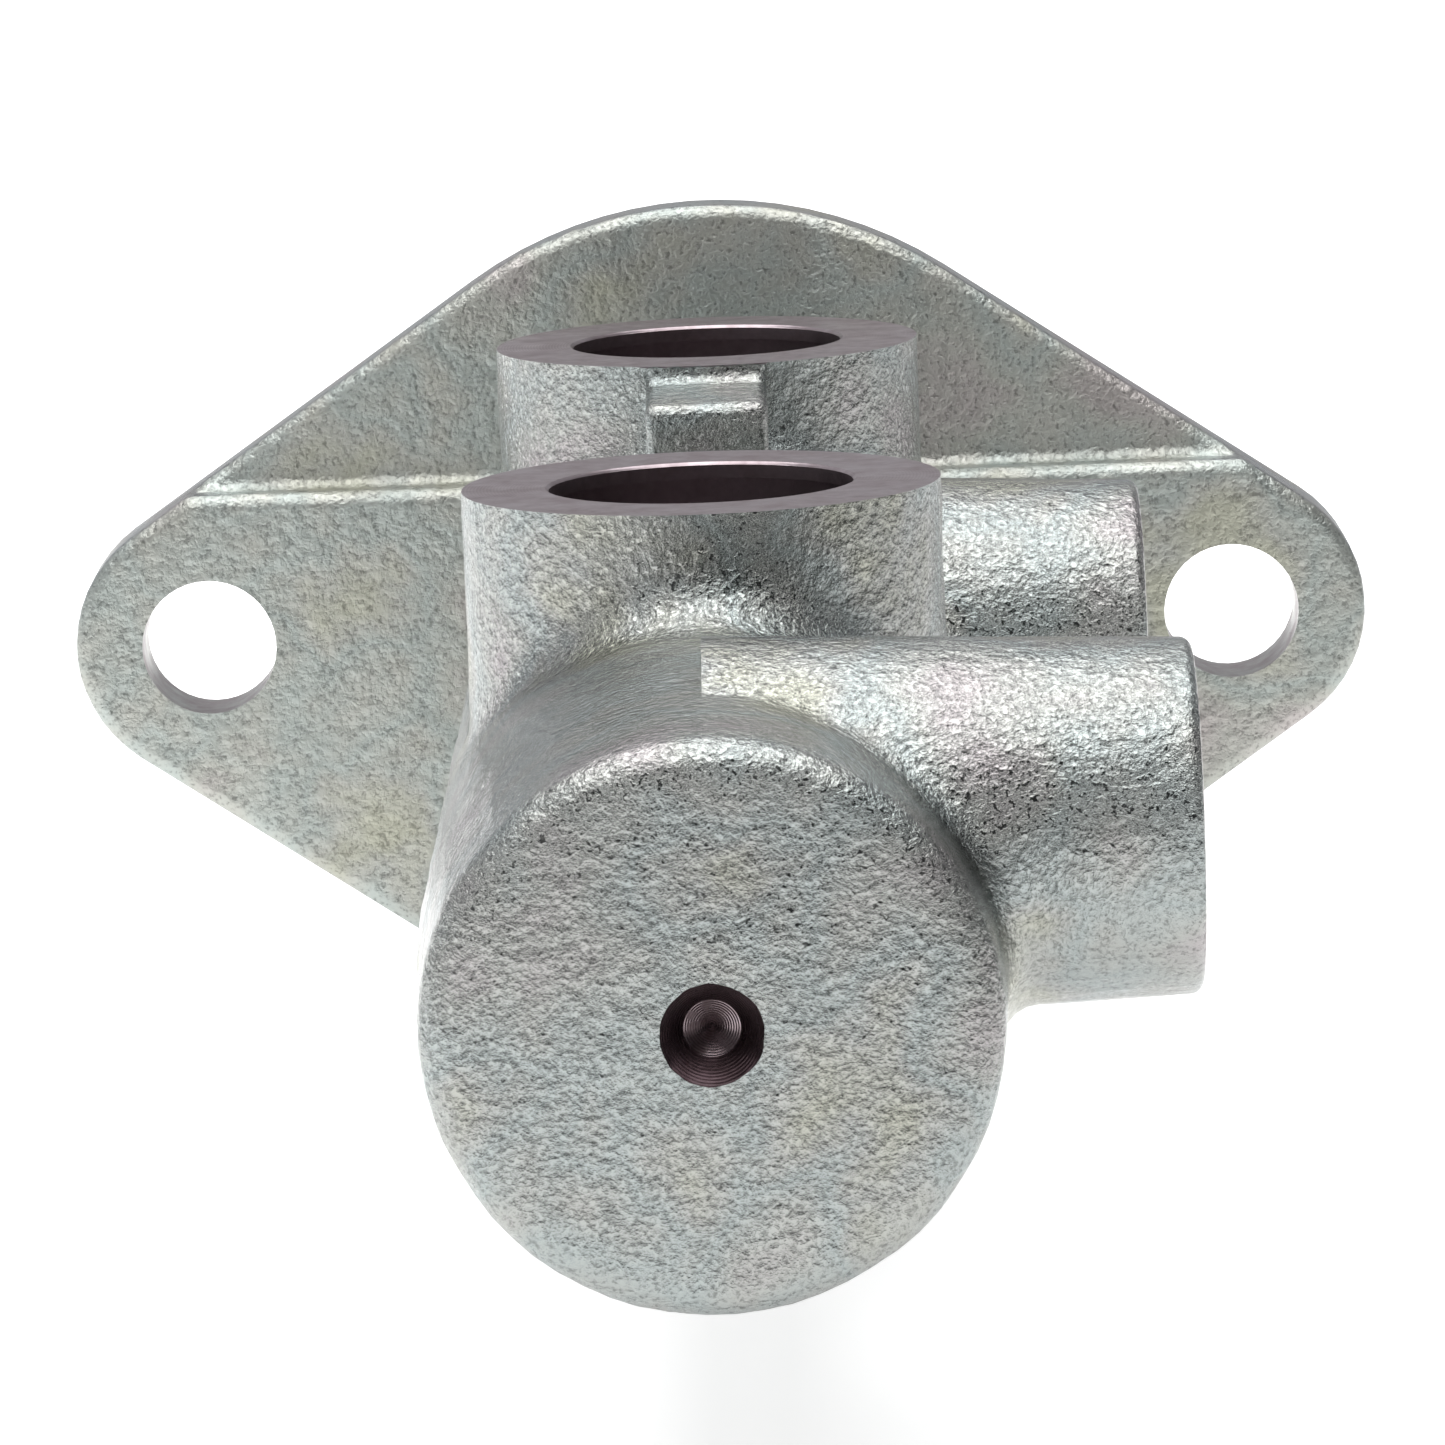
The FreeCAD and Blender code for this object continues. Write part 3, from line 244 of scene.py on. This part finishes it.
class StudioSettings(bpy.types.PropertyGroup):
    lens: bpy.props.FloatProperty(
        name="Lens", description="Focal length on a 36 mm sensor, in millimetres", default=211.76)
    camera_place: bpy.props.FloatVectorProperty(
        name="Camera", description="Where the camera stands", default=(0.00565, -0.66444, 0.09885),
        unit="LENGTH")
    yaw: bpy.props.FloatProperty(
        name="Yaw", description="Turn to the right", default=math.radians(-0.501), subtype="ANGLE")
    pitch: bpy.props.FloatProperty(
        name="Pitch", description="Tilt downwards", default=math.radians(9.181), subtype="ANGLE")
    roll: bpy.props.FloatProperty(
        name="Roll", description="Tilt sideways", default=math.radians(-2.141), subtype="ANGLE")
    softbox: bpy.props.FloatProperty(
        name="Softbox", description="Power of the overhead softbox", default=18.5, unit="POWER")
    softbox_place: bpy.props.FloatVectorProperty(
        name="Softbox place", description="Where the softbox hangs, facing down", default=(-0.05, -0.16, 1.0),
        unit="LENGTH")
    softbox_width: bpy.props.FloatProperty(
        name="Softbox width", description="Size from side to side", default=1.15, unit="LENGTH")
    softbox_depth: bpy.props.FloatProperty(
        name="Softbox depth", description="Size from front to back", default=1.45, unit="LENGTH")
    floor: bpy.props.StringProperty(
        name="Floor", description="Colour of the floor", default="f4f4f3")
    floor_pale: bpy.props.StringProperty(
        name="Pale floor", description="Colour of the floor's paler patches", default="f8f8f8")
    # painted shade: the colour the floor is darkened to towards and behind the camera
    floor_painted_shade: bpy.props.StringProperty(
        name="Dark floor", description="Colour of the floor towards and behind the camera", default="3c3c3c")
    room: bpy.props.StringProperty(
        name="Room", description="Colour of the light from the room", default="fbfbff")


# ---- nodes ------------------------------------------------------------------------------------------
def linear(hex_colour):
    """An sRGB hex colour as linear RGBA."""
    values = [int(hex_colour[i:i + 2], 16) / 255.0 for i in (0, 2, 4)]
    return [v / 12.92 if v <= 0.04045 else ((v + 0.055) / 1.055) ** 2.4 for v in values] + [1.0]


def add(tree, kind, links=None, **settings):
    """Adds a node. Each link gives an input a value, or joins it to another node's output."""
    node = tree.nodes.new(kind)
    for name, value in settings.items():
        setattr(node, name, value)
    for name, value in (links or {}).items():
        if isinstance(value, bpy.types.NodeSocket):
            tree.links.new(value, node.inputs[name])
        else:
            node.inputs[name].default_value = value
    return node


def new_material(name):
    """A new material, its node tree, its surface shader and its object coordinates."""
    material = bpy.data.materials.new(name)
    material.use_nodes = True
    tree = material.node_tree
    tree.nodes.clear()
    shader = add(tree, "ShaderNodeBsdfPrincipled")
    add(tree, "ShaderNodeOutputMaterial", {"Surface": shader.outputs[0]})
    coordinates = add(tree, "ShaderNodeTexCoord").outputs["Object"]
    return material, tree, shader, coordinates


def cloud(tree, coordinates, size, detail=2.0, roughness=0.5):
    """Noise whose lumps are about the given size in metres."""
    links = {"Vector": coordinates, "Scale": 1.0 / size, "Detail": detail, "Roughness": roughness}
    return add(tree, "ShaderNodeTexNoise", links).outputs[0]


def stretch(tree, value, low, high, to_low, to_high):
    """A value's range moved to another range."""
    links = {"Value": value, "From Min": low, "From Max": high, "To Min": to_low, "To Max": to_high}
    return add(tree, "ShaderNodeMapRange", links).outputs[0]


def maths(tree, operation, first, second=0.0):
    """One step of arithmetic."""
    return add(tree, "ShaderNodeMath", {0: first, 1: second}, operation=operation).outputs[0]


def blended(tree, fac, first, second, mode="MIX"):
    """Two colours mixed."""
    links = {0: fac, 6: first, 7: second}
    return add(tree, "ShaderNodeMix", links, data_type="RGBA", blend_type=mode).outputs[2]


def ramp(tree, fac, places, colours):
    """A colour ramp through the given places."""
    node = add(tree, "ShaderNodeValToRGB", {"Fac": fac})
    while len(node.color_ramp.elements) < len(places):
        node.color_ramp.elements.new(0.5)
    for element, place, colour in zip(node.color_ramp.elements, places, colours):
        element.position = place
        element.color = colour
    return node.outputs[0]


def bumps(tree, shader, height, depth):
    """Gives a shader bumps whose full height is the given depth in metres."""
    links = {"Height": height, "Distance": depth, "Strength": 1.0}
    tree.links.new(add(tree, "ShaderNodeBump", links).outputs[0], shader.inputs["Normal"])


def coordinate(name):
    """A function that gives one object coordinate."""
    return lambda tree, at: add(tree, "ShaderNodeSeparateXYZ", {0: at}).outputs[name]


def offset(name, amount):
    """A function that gives one coordinate from a fixed centre."""
    return lambda tree, at: maths(tree, "SUBTRACT", coordinate(name)(tree, at), amount)


def nearest(name, centres):
    """A function that gives one coordinate from the nearer of two centres."""
    def local(tree, at):
        reach = abs(centres[1] - centres[0]) / 2.0
        links = {0: offset(name, centres[0])(tree, at), 1: -reach, 2: reach}
        return add(tree, "ShaderNodeMath", links, operation="WRAP").outputs[0]
    return local


def distance_from(first, second):
    """A function that gives the distance from a tool's axis, from two local coordinates."""
    def radius(tree, at):
        pair = {0: first(tree, at), 1: second(tree, at)}
        vector = add(tree, "ShaderNodeCombineXYZ", pair).outputs[0]
        return add(tree, "ShaderNodeVectorMath", {0: vector}, operation="LENGTH").outputs["Value"]
    return radius


# ---- materials --------------------------------------------------------------------------------------
def cast_zinc(name, base, grain, depth, shade, gloss):
    """Grey iron, sand cast, zinc plated and passivated: a satin metal skin that keeps the sand's grain.

    Fine grains with flat tops give sharp glints, painted shade darkens their pits in the base colour, and a
    wide, faint noise gives the passivation film's play of green, yellow and pink.
    """
    finish = bpy.context.scene.cylinder_finish
    material, tree, shader, at = new_material(name)
    lumps = cloud(tree, at, grain * LUMP_RATIO)
    grit = cloud(tree, at, grain, GRIT_DETAIL, GRIT_ROUGHNESS)
    plateaus = stretch(tree, grit, PIT_FLOOR, GRAIN_TOP, 0.0, 1.0)
    height = maths(tree, "ADD", maths(tree, "MULTIPLY", lumps, LUMP_HEIGHT), plateaus)
    film = cloud(tree, at, FILM_WIDTH, FILM_DETAIL)
    tints = [finish.zinc_pink, finish.zinc, finish.zinc_green, finish.zinc, finish.zinc_yellow]
    tint = ramp(tree, film, FILM_STOPS, [linear(colour) for colour in tints])
    tint = blended(tree, BASE_SHARE, tint, linear(base))
    # painted shade: the base colour is darkened in the grain's pits, where shade would fall
    painted_pit_shade = stretch(tree, plateaus, 0.0, PIT_EDGE, PIT_PAINTED_SHADE, 1.0)
    value = maths(tree, "MULTIPLY", painted_pit_shade, shade)
    grey = add(tree, "ShaderNodeCombineColor", {0: value, 1: value, 2: value}).outputs[0]
    tree.links.new(blended(tree, 1.0, tint, grey, "MULTIPLY"), shader.inputs["Base Color"])
    shader.inputs["Metallic"].default_value = 1.0
    smoothest, roughest = (gloss + change for change in SHEEN_RANGE)
    rough = stretch(tree, cloud(tree, at, SHEEN_WIDTH), NOISE_LOW, NOISE_HIGH, smoothest, roughest)
    tree.links.new(rough, shader.inputs["Roughness"])
    bumps(tree, shader, height, depth)
    return material


def turned_metal(name, colour, dark, radius, pitch, gloss, depth):
    """Metal turned on a lathe or mill: fine rings about the tool's axis whose crests get a painted highlight,
    so the hollows stay darker, and stains in random patches.
    """
    material, tree, shader, at = new_material(name)
    wobble = cloud(tree, at, WOBBLE_WIDTH)
    reach = maths(tree, "ADD", radius(tree, at), maths(tree, "MULTIPLY", wobble, pitch * WOBBLE_SHARE))
    rings = maths(tree, "SINE", maths(tree, "MULTIPLY", reach, math.tau / pitch))
    ring_relief_and_painted_crests = stretch(tree, rings, -1.0, 1.0, 0.0, 1.0)
    patches = cloud(tree, at, STAIN_WIDTH, STAIN_DETAIL, STAIN_ROUGHNESS)
    clean = stretch(tree, patches, STAIN_LOW, STAIN_HIGH, 0.0, 1.0)
    mixed = blended(tree, clean, linear(dark), linear(colour))
    # painted highlight: the crests of the rings are brightened in the base colour
    painted_crest_highlight = blended(tree, maths(tree, "MULTIPLY", ring_relief_and_painted_crests, CREST_PAINTED_HIGHLIGHT), mixed, linear(colour))
    tree.links.new(painted_crest_highlight, shader.inputs["Base Color"])
    shader.inputs["Metallic"].default_value = 1.0
    stained_rough, clean_rough = (gloss + change for change in STAINED_RANGE)
    tree.links.new(stretch(tree, clean, 0.0, 1.0, stained_rough, clean_rough), shader.inputs["Roughness"])
    bumps(tree, shader, ring_relief_and_painted_crests, depth)
    return material


def moulded(name, colour, dust, grain, gloss, depth):
    """Moulded rubber or nylon: an even skin with a fine bloom and a faint mould texture."""
    material, tree, shader, at = new_material(name)
    patches = cloud(tree, at, grain * BLOOM_RATIO, BLOOM_DETAIL, BLOOM_ROUGHNESS)
    bloom = stretch(tree, patches, BLOOM_LOW, BLOOM_HIGH, 0.0, BLOOM_MOST)
    tree.links.new(blended(tree, bloom, linear(colour), linear(dust)), shader.inputs["Base Color"])
    rough = stretch(tree, bloom, 0.0, BLOOM_MOST, gloss, gloss + BLOOM_DULLING)
    tree.links.new(rough, shader.inputs["Roughness"])
    bumps(tree, shader, cloud(tree, at, grain), depth)
    return material


def set_finish(node_names, material):
    """Gives CAD nodes one material."""
    for name in node_names:
        slots = NODES[name].data.materials
        slots.clear()
        slots.append(material)


# ---- meshes -----------------------------------------------------------------------------------------
CAST, FLANGE_CAST, RIM_CAST, INLET_TURNED, OUTLET_TURNED, AXIS_TURNED, DRILLED, BACK_TURNED = range(8)
CAST_KINDS = {CAST, FLANGE_CAST, RIM_CAST}


def put_in_scene(name, data):
    """Makes an object at the origin."""
    item = bpy.data.objects.new(name, data)
    bpy.context.scene.collection.objects.link(item)
    return item


def finish_mesh(mesh_name, bm, body, replaced, materials):
    """Turns a bmesh into an object that rides on a CAD body and stands in for CAD nodes."""
    mesh = bpy.data.meshes.new(mesh_name)
    bm.to_mesh(mesh)
    bm.free()
    for material in materials:
        mesh.materials.append(material)
    piece = put_in_scene(mesh_name, mesh)
    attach(piece, body)
    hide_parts(*replaced)
    return piece


def off_axis(point, centre, axis):
    """Distance of a point from a line along one of X, Y or Z."""
    away = Vector(point) - centre
    away["XYZ".index(axis)] = 0.0
    return away.length


def face_finish(face, inlet_top, outlet_end):
    """Which finish a face of the casting has."""
    middle = face.calc_center_median()
    for centre, radius in INLETS:
        away = off_axis(middle, centre, "Z")
        inside = away < radius + GROOVE and middle.z > INLET_BOTTOM
        on_top = middle.z > inlet_top - FIT and away < radius + BOSS_WALL
        if inside or on_top:
            return INLET_TURNED
    for centre, radius in OUTLETS:
        away = off_axis(middle, centre, "X")
        inside = away < radius + GROOVE and middle.x > OUTLET_BOTTOM and face.normal.x > OUTLET_FACING
        on_end = middle.x > outlet_end - FIT and away < OUTLET_BOSS_RATIO * radius
        if inside or on_end:
            return OUTLET_TURNED
    from_bore = off_axis(middle, Vector(), "Y")
    past_centre = CLOSED_END + CENTRE_HOLE_DEPTH
    if CLOSED_END + CENTRE_FIT < middle.y < past_centre and from_bore < CENTRE_HOLE_RADIUS:
        return AXIS_TURNED
    if middle.y > -FIT:
        return BACK_TURNED if from_bore > BACK_START else AXIS_TURNED
    if middle.y > past_centre and from_bore < COUNTERBORE_RADIUS:
        return AXIS_TURNED
    for side in (-1, 1):
        if off_axis(middle, Vector((side * STUD_REACH, 0, 0)), "Y") < STUD_HOLE_RADIUS + FIT:
            return DRILLED
    if middle.y > FLANGE_FRONT and from_bore > BARREL_REACH:
        on_rim = abs(face.normal.y) < RIM_FACING and from_bore > RIM_START
        return RIM_CAST if on_rim else FLANGE_CAST
    return CAST


def split_long_edges(bm, longest, inside):
    """Halves long edges, longest first, and the triangles on both sides of each, where the test allows it."""
    waiting = [(-e.calc_length(), e.index, e) for e in bm.edges if e.calc_length() > longest and inside(e)]
    heapq.heapify(waiting)
    number = len(bm.edges)
    while waiting:
        edge = heapq.heappop(waiting)[2]
        sides = list(edge.link_faces)
        half, middle = bmesh.utils.edge_split(edge, edge.verts[0], 0.5)
        changed = [edge, half]
        for face in sides:
            opposite = next(v for v in face.verts if v is not middle and not bm.edges.get((v, middle)))
            bmesh.utils.face_split(face, middle, opposite)
            changed.append(bm.edges.get((middle, opposite)))
        for piece in changed:
            if piece.calc_length() > longest and inside(piece):
                number += 1
                heapq.heappush(waiting, (-piece.calc_length(), number, piece))


def merge_corners(bm):
    """Joins loose triangles into one skin and drops any that fold onto each other."""
    bmesh.ops.remove_doubles(bm, verts=bm.verts, dist=MERGE_DISTANCE)
    bmesh.ops.dissolve_degenerate(bm, dist=SLIVER_LENGTH, edges=bm.edges)
    bmesh.ops.triangulate(bm, faces=[face for face in bm.faces if len(face.verts) > 3])
    seen = {}
    for face in bm.faces:
        seen.setdefault(frozenset(vert.index for vert in face.verts), []).append(face)
    folded = [face for faces in seen.values() if len(faces) > 1 for face in faces]
    bmesh.ops.delete(bm, geom=folded, context="FACES_ONLY")


def casting_mesh():
    """The casting's skin: the machined solid's surface, cut fine enough to carry the mould's unevenness."""
    settings = bpy.context.scene.cylinder_casting
    bm = bmesh.new()
    bm.from_mesh(NODES["cylinder_body"].data)
    merge_corners(bm)
    inlet, inlet_radius = INLETS[0]
    outlet, outlet_radius = OUTLETS[0]
    inlet_top = max(v.co.z for v in bm.verts if off_axis(v.co, inlet, "Z") < inlet_radius + BOSS_WALL)
    boss_reach = OUTLET_BOSS_RATIO * outlet_radius
    outlet_end = max(v.co.x for v in bm.verts if off_axis(v.co, outlet, "X") < boss_reach)
    for face in bm.faces:
        face.material_index = face_finish(face, inlet_top, outlet_end)

    def on_cast(edge):
        return any(face.material_index == CAST for face in edge.link_faces)

    split_long_edges(bm, settings.edge_length, on_cast)
    bm.normal_update()
    shifts = []
    for vert in bm.verts:
        kinds = {face.material_index for face in vert.link_faces}
        lump = noise.noise(vert.co / settings.lump_width)
        if kinds == {CAST, AXIS_TURNED} and vert.co.y < CLOSED_END + CENTRE_HOLE_DEPTH:
            outward = Vector((vert.co.x, 0.0, vert.co.z)).normalized()
            wander = lump + noise.noise(vert.co / (CHIP_RATIO * settings.lump_width))
            shifts.append((vert, outward * wander * settings.chipping))
        if not kinds <= CAST_KINDS:
            continue
        swell = noise.noise(vert.co / settings.swell_width) * settings.swell
        share = 1.0 if kinds == {CAST} else FINE_CAST_SHARE
        shifts.append((vert, vert.normal * (swell + lump * settings.lump) * share))
    for vert, shift in shifts:
        vert.co += shift
    for edge in bm.edges:
        same = len({face.material_index in CAST_KINDS for face in edge.link_faces}) == 1
        edge.smooth = same and edge.calc_face_angle(0.0) < SHARP_ANGLE
    for face in bm.faces:
        face.smooth = True
    return bm


def coil(inner_end, outer_end, mean_radius, wire_radius, turns):
    """A round-wire spring along Y with a closed turn at each end: one section spun and moved along."""
    bm = bmesh.new()
    start = Matrix.Translation((mean_radius, inner_end + wire_radius, 0))
    bmesh.ops.create_circle(
        bm, segments=COIL_SECTION_SIDES, radius=wire_radius, matrix=start, cap_ends=True)
    geom = bm.faces[:]
    wire = 2.0 * wire_radius
    closed = (1.0, wire * CLOSED_COIL_RATIO)
    free = (turns - 2.0, outer_end - inner_end - wire * (1.0 + 2.0 * CLOSED_COIL_RATIO))
    for amount, rise in (closed, free, closed):
        steps = int(round(amount * COIL_STEPS_PER_TURN))
        spun = bmesh.ops.spin(
            bm, geom=geom, cent=(0, 0, 0), axis=(0, 1, 0), dvec=(0, rise / steps, 0),
            angle=amount * math.tau, steps=steps, use_duplicate=False)
        geom = spun["geom_last"]
    bmesh.ops.recalc_face_normals(bm, faces=bm.faces)
    for face in bm.faces:
        face.smooth = len(face.verts) == 4
    return bm


# ---- operators --------------------------------------------------------------------------------------
class BuildCasting(bpy.types.Operator):
    """Cylinder body with its sand-cast skin and machined faces"""
    bl_idname = "cylinder.casting"
    bl_label = "Casting"

    def execute(self, context):
        finish = context.scene.cylinder_finish
        inlet_ys = [centre.y for centre, _ in INLETS]
        outlet_ys = [centre.y for centre, _ in OUTLETS]
        from_inlet = distance_from(coordinate("X"), nearest("Y", inlet_ys))
        from_outlet = distance_from(nearest("Y", outlet_ys), offset("Z", OUTLETS[0][0].z))
        from_bore = distance_from(coordinate("X"), coordinate("Z"))
        materials = [    # in the order of the finish numbers
            # Coarse sand-cast iron of the barrel and bosses, zinc plated and passivated
            cast_zinc("sand_cast_zinc_plate", finish.zinc,
                      grain=0.34 * MM, depth=0.044 * MM, shade=0.70, gloss=0.20),
            # Finer and duller cast skin of the flange
            cast_zinc("fine_cast_zinc_plate", finish.zinc_olive,
                      grain=0.40 * MM, depth=0.036 * MM, shade=0.86, gloss=0.46),
            # Nearly smooth cast edge of the flange
            cast_zinc("smooth_cast_zinc_plate", finish.zinc_pink,
                      grain=0.5 * MM, depth=0.003 * MM, shade=0.92, gloss=0.28),
            # Inlets faced and bored, with thin plate over iron
            turned_metal("turned_inlet_zinc", finish.inlet, finish.inlet_stain, from_inlet,
                         pitch=0.22 * MM, gloss=0.32, depth=0.008 * MM),
            # Outlets faced and drilled
            turned_metal("turned_outlet_zinc", finish.zinc, finish.turned, from_outlet,
                         pitch=0.30 * MM, gloss=0.26, depth=0.010 * MM),
            # Turning centre, bore and counterbore
            turned_metal("turned_bore_zinc", finish.turned, finish.bore, from_bore,
                         pitch=0.15 * MM, gloss=0.22, depth=0.008 * MM),
            # Stud holes, drilled and plated
            turned_metal("drilled_zinc", finish.zinc, finish.turned, coordinate("Y"),
                         pitch=0.20 * MM, gloss=0.34, depth=0.006 * MM),
            # Spigot and back face, turned and plated
            turned_metal("turned_flange_zinc", finish.back, finish.back_stain, from_bore,
                         pitch=0.32 * MM, gloss=0.30, depth=0.008 * MM),
        ]
        finish_mesh(
            "casting", casting_mesh(), "housing", ["cylinder_body"], materials)
        return {"FINISHED"}


class BuildSprings(bpy.types.Operator):
    """Both return springs, each riding on one body"""
    bl_idname = "cylinder.springs"
    bl_label = "Return springs"

    def execute(self, context):
        finish = context.scene.cylinder_finish
        # Hard-drawn steel wire with a film of oil
        wire = turned_metal("drawn_spring_wire", finish.wire, finish.wire_stain, coordinate("Y"),
                            pitch=0.08 * MM, gloss=0.24, depth=0.002 * MM)
        for node, body, joint, wire_radius, turns in SPRINGS:
            low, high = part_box(node)
            bm = coil(low.y, high.y, high.x - wire_radius, wire_radius, turns)
            piece = finish_mesh("coiled_" + node, bm, body, [node], [wire])
            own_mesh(piece)
        return {"FINISHED"}


class FinishPistons(bpy.types.Operator):
    """Finishes of the pistons, seats, screw and stop pin"""
    bl_idname = "cylinder.pistons"
    bl_label = "Pistons"

    def execute(self, context):
        finish = context.scene.cylinder_finish
        # Aluminium, turned and then anodised
        anodised = turned_metal("anodised_aluminium", finish.anodised, finish.anodised_stain, coordinate("Y"),
                                pitch=0.18 * MM, gloss=0.30, depth=0.006 * MM)
        # Steel sheet and rod, pressed or turned, zinc plated
        pressed = turned_metal("zinc_plated_pressed_steel", finish.pressed, finish.pressed_stain,
                               coordinate("Y"), pitch=0.5 * MM, gloss=0.28, depth=0.002 * MM)
        # Bare turned brass
        brass = turned_metal("turned_brass", finish.brass, finish.brass_stain, coordinate("X"),
                             pitch=0.14 * MM, gloss=0.24, depth=0.006 * MM)
        set_finish(["secondary_piston", "primary_piston"], anodised)
        set_finish([
            "stop_pin", "stop_washer", "snap_ring", "secondary_spring_seat", "secondary_cup_washer",
            "primary_spring_retainer", "captive_screw", "primary_spring_seat", "primary_cup_washer",
        ], pressed)
        set_finish(["outlet_seat_front", "outlet_seat_rear"], brass)
        return {"FINISHED"}


class FinishSeals(bpy.types.Operator):
    """Finishes of the rubber seals and the nylon guide ring"""
    bl_idname = "cylinder.seals"
    bl_label = "Seals"

    def execute(self, context):
        finish = context.scene.cylinder_finish
        # Black synthetic rubber, moulded
        rubber = moulded("moulded_rubber", finish.rubber, finish.rubber_bloom,
                         grain=0.12 * MM, gloss=0.42, depth=0.006 * MM)
        # Natural nylon, moulded
        nylon = moulded("moulded_nylon", finish.nylon, finish.nylon_bloom,
                        grain=0.2 * MM, gloss=0.38, depth=0.004 * MM)
        set_finish([
            "spigot_o_ring", "vacuum_seal", "secondary_cup", "separator_cup_front", "separator_cup_rear",
            "primary_cup", "rear_cup",
        ], rubber)
        set_finish(["guide_ring"], nylon)
        return {"FINISHED"}


def aim(yaw, pitch, roll):
    """Camera axes from yaw, downward pitch and roll, as a rotation."""
    forward = Vector((math.sin(yaw) * math.cos(pitch), math.cos(yaw) * math.cos(pitch), -math.sin(pitch)))
    level = Vector((math.cos(yaw), -math.sin(yaw), 0.0))
    upright = level.cross(forward)
    right = level * math.cos(roll) + upright * math.sin(roll)
    up = upright * math.cos(roll) - level * math.sin(roll)
    return Matrix((right, up, -forward)).transposed().to_4x4()


class BuildStudio(bpy.types.Operator):
    """Pale floor, soft light and camera"""
    bl_idname = "cylinder.studio"
    bl_label = "Studio"

    def execute(self, context):
        studio = context.scene.cylinder_studio
        self.lay_floor(studio)
        self.light_room(studio)

        lamp_data = bpy.data.lights.new("overhead_softbox", "AREA")
        lamp_data.shape = "RECTANGLE"
        lamp_data.size = studio.softbox_width
        lamp_data.size_y = studio.softbox_depth
        lamp_data.energy = studio.softbox
        lamp = put_in_scene("overhead_softbox", lamp_data)
        lamp.location = studio.softbox_place

        camera_data = bpy.data.cameras.new("camera")
        camera_data.lens = studio.lens
        camera_data.sensor_width = SENSOR_WIDTH
        camera_data.clip_start = NEAR_CLIP
        camera_data.clip_end = FAR_CLIP
        camera = put_in_scene("camera", camera_data)
        turn = aim(studio.yaw, studio.pitch, studio.roll)
        camera.matrix_world = Matrix.Translation(studio.camera_place) @ turn
        context.scene.camera = camera
        context.scene.view_settings.view_transform = "Standard"
        return {"FINISHED"}

    def lay_floor(self, studio):
        """A wide sheet of matt paper with painted light: it glows, more strongly further back, and painted
        shade darkens it towards and behind the camera and to the right.
        """
        bm = bmesh.new()
        under = Matrix.Translation((0, 0, CAD_BOX[0][2] - FLOOR_GAP))
        bmesh.ops.create_circle(bm, segments=FLOOR_SIDES, radius=FLOOR_RADIUS, matrix=under, cap_ends=True)
        mesh = bpy.data.meshes.new("floor")
        bm.to_mesh(mesh)
        bm.free()
        floor = put_in_scene("floor", mesh)
        material, tree, shader, at = new_material("pale_paper")
        split = add(tree, "ShaderNodeSeparateXYZ", {0: at}).outputs
        painted_shade_towards_camera = stretch(tree, split["Y"], *FLOOR_PAINTED_SHADE_ALONG_Y)
        painted_shade_to_right = stretch(tree, split["X"], *FLOOR_PAINTED_SHADE_ALONG_X)
        # painted shade: the floor's colour and glow darken towards the camera and to the right
        level = maths(tree, "MULTIPLY", painted_shade_towards_camera, painted_shade_to_right)
        mottle = stretch(tree, cloud(tree, at, MOTTLE_WIDTH), NOISE_LOW, NOISE_HIGH, 0.0, 1.0)
        paper = blended(tree, mottle, linear(studio.floor), linear(studio.floor_pale))
        colour = blended(tree, level, linear(studio.floor_painted_shade), paper)
        tree.links.new(colour, shader.inputs["Base Color"])
        shader.inputs["Roughness"].default_value = PAPER_ROUGHNESS
        shader.inputs["Emission Color"].default_value = (1.0, 1.0, 1.0, 1.0)
        # painted light: the floor glows, more strongly further back, though it is no lamp
        painted_glow = stretch(tree, split["Y"], *FLOOR_PAINTED_GLOW_ALONG_Y)
        tree.links.new(maths(tree, "MULTIPLY", painted_glow, level), shader.inputs["Emission Strength"])
        mesh.materials.append(material)

    def light_room(self, studio):
        """Faint light from the room: stronger from behind the object and from its left."""
        world = bpy.data.worlds.new("soft_room")
        world.use_nodes = True
        tree = world.node_tree
        at = add(tree, "ShaderNodeTexCoord").outputs["Object"]
        split = add(tree, "ShaderNodeSeparateXYZ", {0: at}).outputs
        from_behind = stretch(tree, split["Y"], *ROOM_LIGHT_ALONG_Y)
        from_left = stretch(tree, split["X"], *ROOM_LIGHT_ALONG_X)
        background = tree.nodes["Background"]
        background.inputs["Color"].default_value = linear(studio.room)
        tree.links.new(maths(tree, "ADD", from_behind, from_left), background.inputs["Strength"])
        bpy.context.scene.world = world


class CylinderPanel(bpy.types.Panel):
    """Sidebar panel with one button for each group of pieces"""
    bl_idname = "VIEW3D_PT_master_cylinder"
    bl_label = "Master cylinder"
    bl_space_type = "VIEW_3D"
    bl_region_type = "UI"
    bl_category = "Cylinder"

    def draw(self, context):
        for operator in STEPS:
            self.layout.operator(operator.bl_idname)
        for name, group in GROUPS.items():
            box = self.layout.box()
            for setting in group.__annotations__:
                box.prop(getattr(context.scene, name), setting)


GROUPS = {
    "cylinder_casting": CastingSettings,
    "cylinder_finish": FinishSettings,
    "cylinder_studio": StudioSettings,
}
STEPS = (BuildStudio, BuildCasting, BuildSprings, FinishPistons, FinishSeals)


def register():
    """Makes the settings, operators and panel known."""
    for cls in (*GROUPS.values(), *STEPS, CylinderPanel):
        bpy.utils.register_class(cls)
    for name, group in GROUPS.items():
        setattr(bpy.types.Scene, name, bpy.props.PointerProperty(type=group))


def unregister():
    """Removes what register added, in reverse."""
    for name in GROUPS:
        delattr(bpy.types.Scene, name)
    for cls in (CylinderPanel, *reversed(STEPS), *reversed(GROUPS.values())):
        bpy.utils.unregister_class(cls)


def main():
    """Builds everything in order."""
    register()
    for step in STEPS:
        category, name = step.bl_idname.split(".")
        getattr(getattr(bpy.ops, category), name)()


if __name__ == "__main__":
    main()
